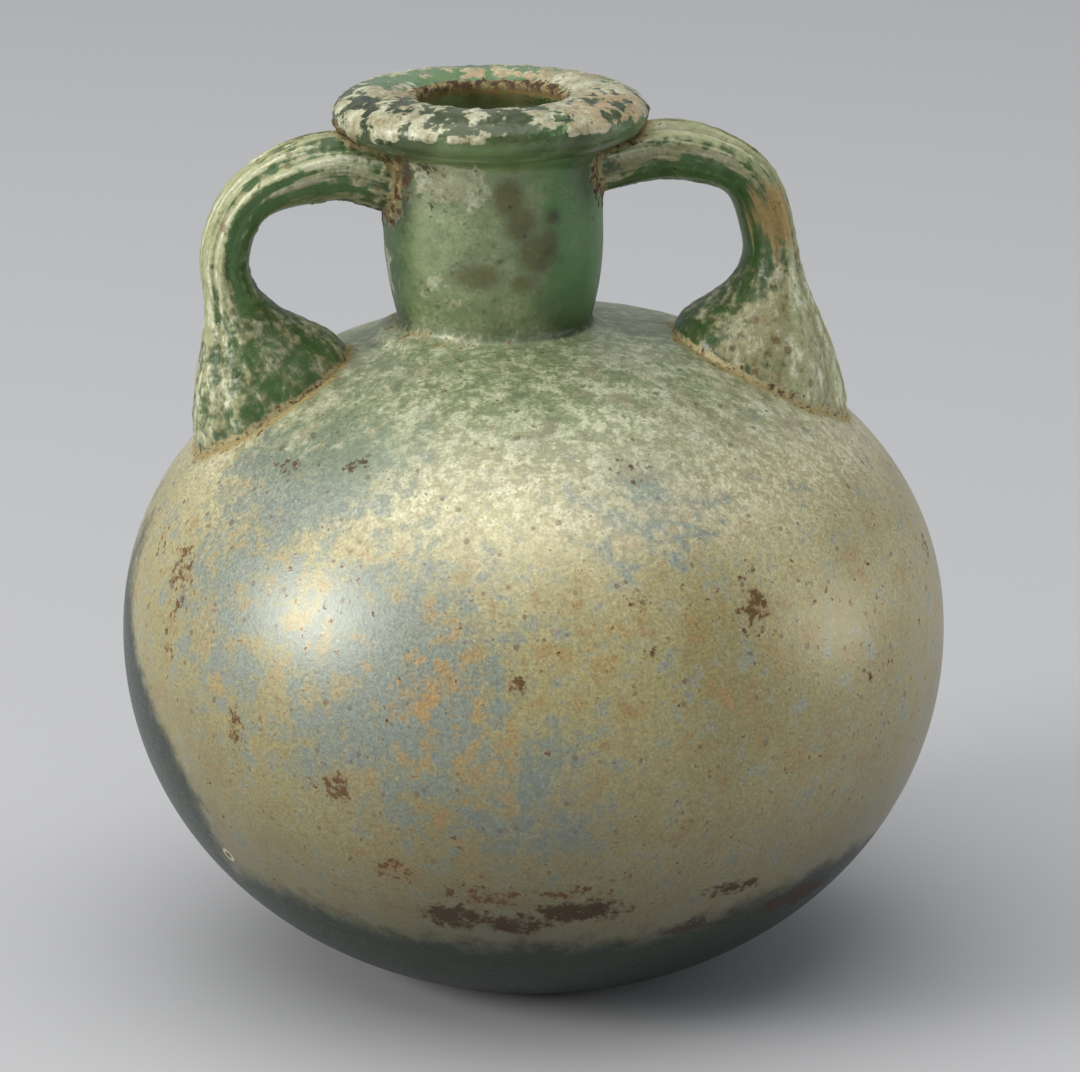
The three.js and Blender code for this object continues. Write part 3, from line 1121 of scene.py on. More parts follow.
class Tree:
    """Short calls that build one node tree, with sockets passed from node to node."""

    def __init__(self, tree: bpy.types.NodeTree) -> None:
        """Starts on an empty tree."""
        self.tree = tree
        self.tree.nodes.clear()

    def node(self, kind: str, **settings: object) -> bpy.types.Node:
        """Adds a node.

        Args:
            kind: Its type.
            **settings: Properties to set on it.

        Returns:
            The node.
        """
        made = self.tree.nodes.new(kind)
        for name, value in settings.items():
            setattr(made, name, value)
        return made

    def feed(self, socket: bpy.types.NodeSocket, value: Given) -> None:
        """Links a socket to an input, or sets the input to a plain value.

        Args:
            socket: The input.
            value: A socket or a plain value.
        """
        if isinstance(value, bpy.types.NodeSocket):
            self.tree.links.new(value, socket)
        else:
            socket.default_value = value

    def fed(self, kind: str, values: dict[int | str, Given], output: int | str = 0,
            **settings: object) -> bpy.types.NodeSocket:
        """Adds a node and feeds its inputs.

        Args:
            kind: Its type.
            values: For each input's number or name, a socket or a plain value.
            output: Number or name of the output that is wanted.
            **settings: Properties to set on it.

        Returns:
            The output's socket.
        """
        made = self.node(kind, **settings)
        for place, value in values.items():
            self.feed(made.inputs[place], value)
        return made.outputs[output]

    def maths(self, operation: str, *values: Given) -> bpy.types.NodeSocket:
        """Adds a Math node on two or three values."""
        return self.fed("ShaderNodeMath", dict(enumerate(values)), operation=operation)

    def times(self, *values: Given) -> bpy.types.NodeSocket:
        """Multiplies several values."""
        return reduce(partial(self.maths, "MULTIPLY"), values)

    def most(self, *values: Given) -> bpy.types.NodeSocket:
        """The greatest of several values."""
        return reduce(partial(self.maths, "MAXIMUM"), values)

    def step(self, value: Given, low: Given, high: Given, start: Given = 0.0,
             end: Given = 1.0) -> bpy.types.NodeSocket:
        """Adds a smooth step from start to end while the value goes from low to high."""
        values = {"Value": value, "From Min": low, "From Max": high, "To Min": start, "To Max": end}
        return self.fed("ShaderNodeMapRange", values, "Result", interpolation_type="SMOOTHSTEP")

    def ramp(self, value: Given, ramp: Ramp) -> bpy.types.NodeSocket:
        """Adds a ramp over a value."""
        return self.step(value, ramp.low, ramp.high, ramp.start, ramp.end)

    def blend(self, share: Given, first: Given, second: Given,
              way: Blend = Blend.MIX) -> bpy.types.NodeSocket:
        """Puts the second colour over the first by a share."""
        return self.fed("ShaderNodeMix", {0: share, 6: first, 7: second}, 2, data_type="RGBA",
                        blend_type=way.value, clamp_factor=True)

    def layers(self, colour: Given, *coats: tuple) -> bpy.types.NodeSocket:
        """Lays coats over a colour one after the other.

        Args:
            colour: The lowest colour.
            *coats: For each coat its share and its colour.

        Returns:
            The last colour's socket.
        """
        for share, coat in coats:
            colour = self.blend(share, colour, coat)
        return colour

    def between(self, share: Given, first: Given, second: Given) -> bpy.types.NodeSocket:
        """Goes from the first value to the second by a share."""
        return self.fed("ShaderNodeMix", {0: share, 2: first, 3: second}, data_type="FLOAT")

    def clouds(self, vector: Given, cloud: Cloud) -> bpy.types.NodeSocket:
        """Adds cloudy noise.

        Args:
            vector: Places in millimetres.
            cloud: The noise's values.

        Returns:
            The socket of its value.
        """
        values = {"Vector": vector, "Scale": 1.0 / cloud.size, "Detail": cloud.detail,
                  "Roughness": cloud.roughness}
        return self.fed("ShaderNodeTexNoise", values, "Fac")

    def mark(self, name: Mark, output: str = "Fac") -> bpy.types.NodeSocket:
        """Reads a value that the piece's vertices carry."""
        return self.node("ShaderNodeAttribute", attribute_name=name.value).outputs[output]

    def place_mm(self) -> bpy.types.NodeSocket:
        """Object coordinates in millimetres."""
        values = {0: self.node("ShaderNodeTexCoord").outputs["Object"], "Scale": 1.0 / MM}
        return self.fed("ShaderNodeVectorMath", values, operation="SCALE")

    def height(self, place: Given) -> bpy.types.NodeSocket:
        """Third coordinate of a place."""
        return self.fed("ShaderNodeSeparateXYZ", {0: place}, "Z")

    def colour_of(self, *values: Given) -> bpy.types.NodeSocket:
        """Colour made of three values."""
        return self.fed("ShaderNodeCombineColor", dict(enumerate(values)))

    def reach(self, place: Given, centre: tuple[float, float, float]) -> bpy.types.NodeSocket:
        """Distance of a place from a centre, both in millimetres."""
        return self.fed("ShaderNodeVectorMath", {0: place, 1: centre}, "Value",
                        operation="DISTANCE")

    def use(self, group: bpy.types.NodeTree, **values: Given) -> bpy.types.NodeSocket:
        """Places a node group and feeds its inputs, named in small letters."""
        named = {name.capitalize(): value for name, value in values.items()}
        return self.fed("ShaderNodeGroup", named, node_tree=group)


class EffectShelf:
    """The node groups that both materials use, each built once."""

    GRAIN_LEAST: float = 0.2
    GRAIN_SPREAD: float = 0.25
    GRAIN_EDGE: Ramp = Ramp(0.12, -0.08)
    SEAM_BORDER: float = 0.7
    SEAM_PULL: float = -0.4
    SEAM_WIDTH: float = 0.2

    def __init__(self) -> None:
        """Builds every group."""
        self.ragged = self._ragged()
        self.grains = self._grains()
        self.grained = self._grained()
        self.seam = self._seam()

    @staticmethod
    def _start(name: str, inputs: dict[str, tuple], output: str, kind: str) -> tuple:
        """Makes an empty group with its sockets.

        Args:
            name: Name of the group.
            inputs: For each input's name, its kind and plain value.
            output: Name of the output.
            kind: Kind of the output.

        Returns:
            The group's tree, its inputs and its outputs.
        """
        group = bpy.data.node_groups.new(name, "ShaderNodeTree")
        tree = Tree(group)
        for label, (socket_kind, value) in inputs.items():
            socket = group.interface.new_socket(label, in_out="INPUT", socket_type=socket_kind)
            if value is not None:
                socket.default_value = value
        group.interface.new_socket(output, in_out="OUTPUT", socket_type=kind)
        return tree, tree.node("NodeGroupInput").outputs, tree.node("NodeGroupOutput").inputs

    def _ragged(self) -> bpy.types.NodeTree:
        """Turns a smooth amount into a patch whose border is torn by clouds.

        Returns:
            The group.
        """
        tree, given, out = self._start("ragged patch", {
            "Amount": ("NodeSocketFloat", 0.5),
            "Cloud": ("NodeSocketFloat", 0.5),
            "Tear": ("NodeSocketFloat", 1.0),
            "Border": ("NodeSocketFloat", 0.5),
            "Edge": ("NodeSocketFloat", 0.1),
        }, "Mask", "NodeSocketFloat")
        cloud = tree.maths("SUBTRACT", given["Cloud"], NOISE_MIDDLE)
        torn = tree.maths("MULTIPLY_ADD", cloud, given["Tear"], given["Amount"])
        low = tree.maths("SUBTRACT", given["Border"], given["Edge"])
        high = tree.maths("ADD", given["Border"], given["Edge"])
        tree.feed(out["Mask"], tree.step(torn, low, high))
        return tree.tree

    def _grains(self) -> bpy.types.NodeTree:
        """Separate grains of soil or crumbs of crust that cover a share of the surface.

        Returns:
            The group.
        """
        tree, given, out = self._start("soil grains", {
            "Vector": ("NodeSocketVector", None),
            "Size": ("NodeSocketFloat", 0.8),
            "Share": ("NodeSocketFloat", 0.3),
        }, "Mask", "NodeSocketFloat")
        cells = tree.node("ShaderNodeTexVoronoi")
        tree.feed(cells.inputs["Vector"], given["Vector"])
        tree.feed(cells.inputs["Scale"], tree.maths("DIVIDE", 1.0, given["Size"]))
        picked = tree.node("ShaderNodeSeparateColor")
        tree.feed(picked.inputs[0], cells.outputs["Color"])
        chosen = tree.maths("LESS_THAN", picked.outputs[0], given["Share"])
        size = tree.maths("MULTIPLY_ADD", picked.outputs[1], self.GRAIN_SPREAD, self.GRAIN_LEAST)
        dot = tree.ramp(tree.maths("SUBTRACT", cells.outputs["Distance"], size), self.GRAIN_EDGE)
        tree.feed(out["Mask"], tree.maths("MULTIPLY", chosen, dot))
        return tree.tree

    def _grained(self) -> bpy.types.NodeTree:
        """Lightens and darkens a colour grain by grain.

        Returns:
            The group.
        """
        tree, given, out = self._start("grained colour", {
            "Colour": ("NodeSocketColor", (0.8, 0.8, 0.8, 1.0)),
            "Grain": ("NodeSocketFloat", 0.5),
            "Depth": ("NodeSocketFloat", 0.5),
        }, "Colour", "NodeSocketColor")
        grain = tree.maths("SUBTRACT", given["Grain"], NOISE_MIDDLE)
        shade = tree.maths("MULTIPLY_ADD", grain, given["Depth"], 1.0)
        shades = tree.colour_of(shade, shade, shade)
        tree.feed(out["Colour"], tree.blend(1.0, given["Colour"], shades, Blend.MULTIPLY))
        return tree.tree

    def _seam(self) -> bpy.types.NodeTree:
        """Colour of what has gathered in a join: pale crumbling crust with rusty soil in it.

        Returns:
            The group.
        """
        tree, given, out = self._start("soil in a join", {
            "Cloud": ("NodeSocketFloat", 0.5),
            "Crust": ("NodeSocketColor", rgb(170, 160, 116)),
            "Soil": ("NodeSocketColor", rgb(68, 44, 22)),
            "Share": ("NodeSocketFloat", 0.5),
        }, "Colour", "NodeSocketColor")
        border = tree.maths("MULTIPLY_ADD", given["Share"], self.SEAM_PULL, self.SEAM_BORDER)
        rust = tree.step(given["Cloud"], border, tree.maths("ADD", border, self.SEAM_WIDTH))
        tree.feed(out["Colour"], tree.blend(rust, given["Crust"], given["Soil"]))
        return tree.tree

    def patch(self, tree: Tree, amount: Given, cloud: Given,
              tear: Tear) -> bpy.types.NodeSocket:
        """Places the ragged patch with a tear's values."""
        return tree.use(self.ragged, amount=amount, cloud=cloud, tear=tear.pull,
                        border=tear.border, edge=tear.edge)


@dataclass(frozen=True)
class GreenGlass:
    """The see-through glass under the weathering."""

    tint: Colour
    ior: float = 1.52

    def surface(self, tree: Tree, roughness: Given, normal: Given) -> bpy.types.NodeSocket:
        """The glass's own surface.

        Args:
            tree: The material's tree.
            roughness: How frosted the surface is.
            normal: The surface's normal, with its relief.

        Returns:
            The shader's socket.
        """
        return tree.fed("ShaderNodeBsdfPrincipled", {
            "Base Color": self.tint,
            "Transmission Weight": 1.0,
            "IOR": self.ior,
            "Roughness": roughness,
            "Normal": normal,
        })


@dataclass(frozen=True)
class WeatheredFinish:
    """Green glass with a skin of weathering over it, laid on by a mask."""

    name: str
    glass: GreenGlass
    shelf: EffectShelf
    metallic: float = 0.0
    bump_depth: float = 0.07 * MM
    grain_relief: float = 0.35
    fine_relief: float = 0.9
    coat_roughness: float = 0.42
    coat_ior: float = 1.7

    def relief(self, tree: Tree, grain: Given, fine: Given) -> bpy.types.NodeSocket:
        """Height of the fine relief."""
        return tree.maths("MULTIPLY_ADD", grain, self.grain_relief,
                          tree.times(fine, self.fine_relief))

    def finish(self, tree: Tree, colour: Given, cover: Given, roughness: Given, frost: Given,
               height: Given, coat: Given) -> None:
        """Joins the glass and its skin and gives them to the material's output.

        Args:
            tree: The material's tree.
            colour: Colour of the skin.
            cover: Share of the glass that the skin hides.
            roughness: Roughness of the skin.
            frost: Roughness of the bare glass.
            height: Height of the fine relief.
            coat: How much of a satin coat lies on the skin.
        """
        normal = tree.fed("ShaderNodeBump", {"Distance": self.bump_depth, "Strength": 1.0,
                                             "Height": height})
        skin = tree.fed("ShaderNodeBsdfPrincipled", {
            "Base Color": colour,
            "Roughness": roughness,
            "Metallic": self.metallic,
            "Coat Weight": coat,
            "Coat Roughness": self.coat_roughness,
            "Coat IOR": self.coat_ior,
            "Normal": normal,
        })
        glass = self.glass.surface(tree, frost, normal)
        mixed = tree.fed("ShaderNodeMixShader", {0: cover, 1: glass, 2: skin})
        tree.feed(tree.node("ShaderNodeOutputMaterial").inputs["Surface"], mixed)

    def start(self) -> tuple[bpy.types.Material, Tree]:
        """Makes the material.

        Returns:
            The new material and its empty tree.
        """
        made = bpy.data.materials.new(self.name)
        made.use_nodes = True
        return made, Tree(made.node_tree)


OCHRE_BEND = (24.6, -3.5, 79.0)
RING_PIT = (-30.4, -21.6, 17.7)
BODY_GLASS = GreenGlass((0.29, 0.54, 0.22, 1.0))
HANDLE_GLASS = GreenGlass((0.34, 0.60, 0.22, 1.0))


@dataclass(frozen=True)
class FilmPalette:
    """Colours of the film on the body and of what lies on it."""

    tan_deep: Colour = rgb(150, 140, 86)
    tan_light: Colour = rgb(166, 156, 102)
    cream: Colour = rgb(190, 184, 140)
    tan_patch: Colour = rgb(156, 130, 74)
    pale_patch: Colour = rgb(196, 192, 160)
    grey_haze: Colour = rgb(136, 142, 126)
    grey_patch: Colour = rgb(116, 132, 128)
    ochre: Colour = rgb(174, 138, 80)
    rusty_fleck: Colour = rgb(130, 98, 56)
    light_fleck: Colour = rgb(200, 196, 162)
    sage: Colour = rgb(150, 166, 122)
    whitish: Colour = rgb(216, 216, 184)
    # Painted shade: a darker grey-green laid on the shoulder where the grey fields reach.
    shoulder_shade: Colour = rgb(112, 130, 98)
    crust_deep: Colour = rgb(150, 142, 104)
    crust_light: Colour = rgb(196, 200, 172)
    crust_ochre: Colour = rgb(176, 142, 92)
    # Bare green glass, partly its own green and partly painted shade: made dark to stand for the
    # shadow showing through the glass low on the body.
    bare: Colour = rgb(18, 38, 22)
    rust: Colour = rgb(94, 62, 26)
    neck_rust: Colour = rgb(60, 36, 16)
    band: Colour = rgb(60, 42, 24)
    neck_stain: Colour = rgb(102, 98, 44)
    pit_ring: Colour = rgb(196, 180, 150)
    pit: Colour = rgb(40, 24, 12)
    speck: Colour = rgb(92, 66, 38)
    seam_crust: Colour = rgb(158, 142, 94)
    lining: Colour = rgb(200, 200, 164)
    lining_stain: Colour = rgb(88, 64, 30)
    lining_rim: Colour = rgb(150, 128, 74)
    lining_crevice: Colour = rgb(64, 40, 16)


@dataclass(frozen=True)
class Ground:
    """The values over the vessel's surface that the parts of its material share."""

    place: bpy.types.NodeSocket
    height: bpy.types.NodeSocket
    mottle: bpy.types.NodeSocket
    fine: bpy.types.NodeSocket
    grain: bpy.types.NodeSocket
    both: bpy.types.NodeSocket
    rim: bpy.types.NodeSocket
    high: bpy.types.NodeSocket


@dataclass(frozen=True)
class BodyFinish(WeatheredFinish):
    """The vessel's finish: tan film with ochre and blue-grey patches, soil and bare glass.

    Ramps over a height or a reach run over millimetres, the others over clouds or marks.
    """

    tones: FilmPalette = FilmPalette()
    broad_cloud: Cloud = Cloud(24.0, 2.0, 0.5)
    mottle_cloud: Cloud = Cloud(2.7, 5.0, 0.74)
    fine_cloud: Cloud = Cloud(0.9, 3.0, 0.70)
    grain_cloud: Cloud = Cloud(0.32, 2.0, 0.7)
    cloud_mix: float = 0.5
    rim_height: Ramp = Ramp(85.0, 86.5)
    high_height: Ramp = Ramp(55.0, 61.0)
    light_broad: Ramp = Ramp(0.38, 0.62)
    # Cream film tone, rising towards the top of the belly: this rise is partly painted light from
    # above.
    cream_top_light_height: Ramp = Ramp(38.0, 56.0, 0.0, 0.85)
    cream_broad: Ramp = Ramp(0.30, 0.60)
    tan_mottle: Ramp = Ramp(0.50, 0.64, 0.0, 0.55)
    pale_mottle: Ramp = Ramp(0.48, 0.34, 0.0, 0.45)
    haze_share: float = 0.35
    field_weight: float = 0.6
    grey_tear: Tear = Tear(-3.4, 0.36, 0.28)
    grey_share: float = 0.74
    ochre_tear: Tear = Tear(3.8, 0.68, 0.32)
    ochre_share: float = 0.75
    rusty_fine: Ramp = Ramp(0.58, 0.70, 0.0, 0.7)
    light_fine: Ramp = Ramp(0.40, 0.28, 0.0, 0.6)
    # Painted shade: the film is darkened towards the bottom of the body, between these heights and
    # by these shares of each channel.
    painted_shade_height: Ramp = Ramp(7.0, 44.0)
    painted_shade_bottom: tuple[float, float, float] = (0.24, 0.24, 0.15)
    sage_waver: float = 8.0
    sage_height: Ramp = Ramp(60.5, 68.5, 0.0, 0.85)
    veil_cloud: Ramp = Ramp(0.45, 0.60)
    veil_start: Ramp = Ramp(50.0, 58.0)
    veil_end: Ramp = Ramp(70.0, 67.0)
    veil_grey: Ramp = Ramp(0.2, 1.0, 0.78, 0.24)
    shoulder_shade_height: Ramp = Ramp(54.0, 60.0, 0.0, 0.48)
    flake_tear: Tear = Tear(2.4, 0.5, 0.24)
    flake_below_rim: float = 0.75
    flake_mottle: Ramp = Ramp(0.36, 0.64)
    flake_ochre: float = 0.65
    grain_depth: float = 1.3
    fine_depth: float = 0.9
    bare_tear: Tear = Tear(1.3, 0.5, 0.36)
    bare_cover: float = 0.8
    brown_tear: Tear = Tear(3.4, 0.72, 0.28)
    brown_share: float = 0.92
    band_tear: Tear = Tear(5.0, 0.48, 0.34)
    band_start: Ramp = Ramp(0.06, 0.3)
    band_share: float = 0.9
    stain_tear: Tear = Tear(1.6, 0.5, 0.4)
    stain_start: Ramp = Ramp(0.0, 0.3, 0.0, 0.8)
    ring_outer: Ramp = Ramp(0.95, 0.70)
    ring_inner: Ramp = Ramp(0.35, 0.55)
    pit_reach: Ramp = Ramp(0.50, 0.35)
    speck_size: float = 0.8
    speck_share: float = 0.05
    speck_strength: float = 0.6
    seam_tear: Tear = Tear(2.4, 0.50, 0.2)
    seam_height: Ramp = Ramp(68.0, 75.0, 0.40, 0.80)
    lining_stain: Ramp = Ramp(0.0, 0.7)
    lining_rim: float = 0.75
    lining_crevice: Ramp = Ramp(0.72, 1.0)
    film_tear: Tear = Tear(0.9, 0.45, 0.42)
    film_high: float = 0.86
    skin_roughness: Ramp = Ramp(0.3, 0.7, 0.34, 0.50)
    earth_roughness: float = 0.8
    glass_frost: Ramp = Ramp(62.0, 69.0, 0.22, 0.46)
    rim_frost: float = 0.2
    satin: float = 0.75
    dull: float = 0.1

    def ground(self, tree: Tree) -> Ground:
        """Lays the clouds and zones that the whole material reads.

        Args:
            tree: The material's tree.

        Returns:
            Their sockets.
        """
        place = tree.place_mm()
        height = tree.height(place)
        mottle, fine = tree.clouds(place, self.mottle_cloud), tree.clouds(place, self.fine_cloud)
        return Ground(place, height, mottle, fine,
                      grain=tree.clouds(place, self.grain_cloud),
                      both=tree.between(self.cloud_mix, mottle, fine),
                      rim=tree.ramp(height, self.rim_height),
                      high=tree.ramp(height, self.high_height))

    def film_colour(self, tree: Tree, ground: Ground) -> bpy.types.NodeSocket:
        """Colour of the thin film: tan and cream below, sage under whitish flakes above, darkened
        towards the bottom and on the shoulder as painted shade.

        Args:
            tree: The material's tree.
            ground: The shared values over the surface.

        Returns:
            The colour's socket.
        """
        tones, height, mottle, fine = self.tones, ground.height, ground.mottle, ground.fine
        broad = tree.clouds(ground.place, self.broad_cloud)
        # Cream film tone, laid stronger higher up: partly the film's own tone, partly painted light
        # from above.
        cream = tree.times(tree.ramp(height, self.cream_top_light_height), tree.ramp(broad, self.cream_broad))
        field = tree.mark(Mark.GREY)
        grey = self.shelf.patch(tree, tree.times(field, self.field_weight), mottle, self.grey_tear)
        ochre = self.shelf.patch(tree, tree.times(tree.mark(Mark.OCHRE), self.field_weight), mottle,
                                 self.ochre_tear)
        colour = tree.layers(
            tones.tan_deep,
            (tree.ramp(broad, self.light_broad), tones.tan_light),
            (cream, tones.cream),
            (tree.ramp(mottle, self.tan_mottle), tones.tan_patch),
            (tree.ramp(mottle, self.pale_mottle), tones.pale_patch),
            (tree.times(field, self.haze_share), tones.grey_haze),
            (tree.times(grey, self.grey_share), tones.grey_patch),
            (tree.times(ochre, self.ochre_share), tones.ochre),
            (tree.ramp(fine, self.rusty_fine), tones.rusty_fleck),
            (tree.ramp(fine, self.light_fine), tones.light_fleck),
        )
        # Painted shade: darkens the film towards the bottom of the body.
        low, high = self.painted_shade_height.low, self.painted_shade_height.high
        painted_shade = tree.colour_of(*(tree.step(height, low, high, share) for share in self.painted_shade_bottom))
        colour = tree.blend(1.0, colour, painted_shade, Blend.MULTIPLY)
        wavering = tree.maths("MULTIPLY_ADD", mottle, self.sage_waver, height)
        veil = tree.times(tree.ramp(ground.both, self.veil_cloud),
                          tree.ramp(height, self.veil_start), tree.ramp(height, self.veil_end),
                          tree.ramp(field, self.veil_grey))
        return tree.layers(
            colour,
            (tree.ramp(wavering, self.sage_height), tones.sage),
            (veil, tones.whitish),
            # Painted shade on the shoulder, strongest on the upper left, where the grey fields
            # reach.
            (tree.times(field, tree.ramp(height, self.shoulder_shade_height)), tones.shoulder_shade),
        )

    def flakes(self, tree: Tree, ground: Ground) -> tuple:
        """Thick crust in flakes on the shoulder, the neck and the rim.

        Args:
            tree: The material's tree.
            ground: The shared values over the surface.

        Returns:
            The sockets of the flakes' mask and colour.
        """
        mask = self.shelf.patch(tree, tree.mark(Mark.CRUST), ground.fine, self.flake_tear)
        mask = tree.times(mask, ground.high, tree.between(ground.rim, self.flake_below_rim, 1.0))
        colour = tree.layers(
            self.tones.crust_deep,
            (tree.ramp(ground.mottle, self.flake_mottle), self.tones.crust_light),
            (tree.times(tree.mark(Mark.OCHRE), self.flake_ochre), self.tones.crust_ochre),
        )
        return mask, colour

    def neck_and_band(self, tree: Tree, ground: Ground) -> tuple:
        """The dark band low on the body, and the stains that show through the neck.

        Args:
            tree: The material's tree.
            ground: The shared values over the surface.

        Returns:
            The sockets of the band's and the stains' masks.
        """
        dark = tree.mark(Mark.DARK)
        band = self.shelf.patch(tree, dark, ground.both, self.band_tear)
        band = tree.times(band, tree.ramp(dark, self.band_start),
                          tree.maths("SUBTRACT", 1.0, ground.high))
        stain = self.shelf.patch(tree, dark, ground.mottle, self.stain_tear)
        return band, tree.times(stain, tree.ramp(dark, self.stain_start), ground.high)

    def lining_colour(self, tree: Tree, ground: Ground, soil: Given) -> bpy.types.NodeSocket:
        """Colour of the weathering inside: cream, with brown stains and a dark crevice at the lip.

        Args:
            tree: The material's tree.
            ground: The shared values over the surface.
            soil: How much soil there is.

        Returns:
            The colour's socket.
        """
        return tree.layers(
            self.tones.lining,
            (tree.ramp(soil, self.lining_stain), self.tones.lining_stain),
            (tree.times(ground.rim, self.lining_rim), self.tones.lining_rim),
            (tree.ramp(soil, self.lining_crevice), self.tones.lining_crevice),
        )

    def material(self) -> bpy.types.Material:
        """Makes the vessel's whole material.

        Returns:
            The material.
        """
        made, tree = self.start()
        shelf, tones, ground = self.shelf, self.tones, self.ground(tree)
        soil = tree.mark(Mark.SOIL)
        flakes, flake_colour = self.flakes(tree, ground)
        band, stain = self.neck_and_band(tree, ground)
        bare = shelf.patch(tree, tree.mark(Mark.BARE), ground.mottle, self.bare_tear)
        brown = shelf.patch(tree, tree.mark(Mark.BROWN), ground.fine, self.brown_tear)
        seam = shelf.patch(tree, soil, ground.fine, self.seam_tear)
        pit = tree.reach(ground.place, RING_PIT)
        ring = tree.times(tree.ramp(pit, self.ring_outer), tree.ramp(pit, self.ring_inner))
        specks = tree.use(shelf.grains, vector=ground.place, size=self.speck_size,
                          share=self.speck_share)
        seam_colour = tree.use(shelf.seam, cloud=ground.fine, crust=tones.seam_crust,
                               share=tree.ramp(ground.height, self.seam_height))

        colour = tree.blend(flakes, self.film_colour(tree, ground), flake_colour)
        colour = tree.use(shelf.grained, colour=colour, grain=ground.grain, depth=self.grain_depth)
        colour = tree.use(shelf.grained, colour=colour, grain=ground.fine, depth=self.fine_depth)
        colour = tree.layers(
            colour,
            # Bare glass, painted dark green: partly the glass's own colour, partly painted shade of
            # what shows through it.
            (bare, tones.bare),
            (tree.times(brown, self.brown_share),
             tree.blend(ground.high, tones.rust, tones.neck_rust)),
            (tree.times(band, self.band_share), tones.band),
            (stain, tones.neck_stain),
            (ring, tones.pit_ring),
            (tree.ramp(pit, self.pit_reach), tones.pit),
            (tree.times(specks, self.speck_strength), tones.speck),
            (seam, seam_colour),
            (tree.mark(Mark.LINING), self.lining_colour(tree, ground, soil)),
        )

        film = shelf.patch(tree, tree.mark(Mark.FILM), ground.mottle, self.film_tear)
        film = tree.times(film, tree.between(ground.high, 1.0, self.film_high),
                          tree.between(bare, 1.0, self.bare_cover))
        earth = tree.most(brown, band, seam)
        rough = tree.between(tree.most(earth, flakes), tree.ramp(ground.grain, self.skin_roughness),
                             self.earth_roughness)
        frost = tree.between(ground.rim, tree.ramp(ground.height, self.glass_frost), self.rim_frost)
        coat = tree.between(tree.most(earth, stain, bare), self.satin, self.dull)
        self.finish(tree, colour, tree.most(film, flakes, seam, brown, band, ring), rough, frost,
                    self.relief(tree, ground.grain, ground.fine), coat)
        return made


@dataclass(frozen=True)
class StrapPalette:
    """Colours of the crust on the handles and of what lies in it."""

    crust_deep: Colour = rgb(158, 162, 120)
    crust_light: Colour = rgb(214, 216, 188)
    brown_streak: Colour = rgb(140, 116, 70)
    ochre: Colour = rgb(166, 132, 70)
    valley: Colour = rgb(112, 100, 64)
    crumb: Colour = rgb(96, 62, 34)
    green_veil: Colour = rgb(62, 98, 44)


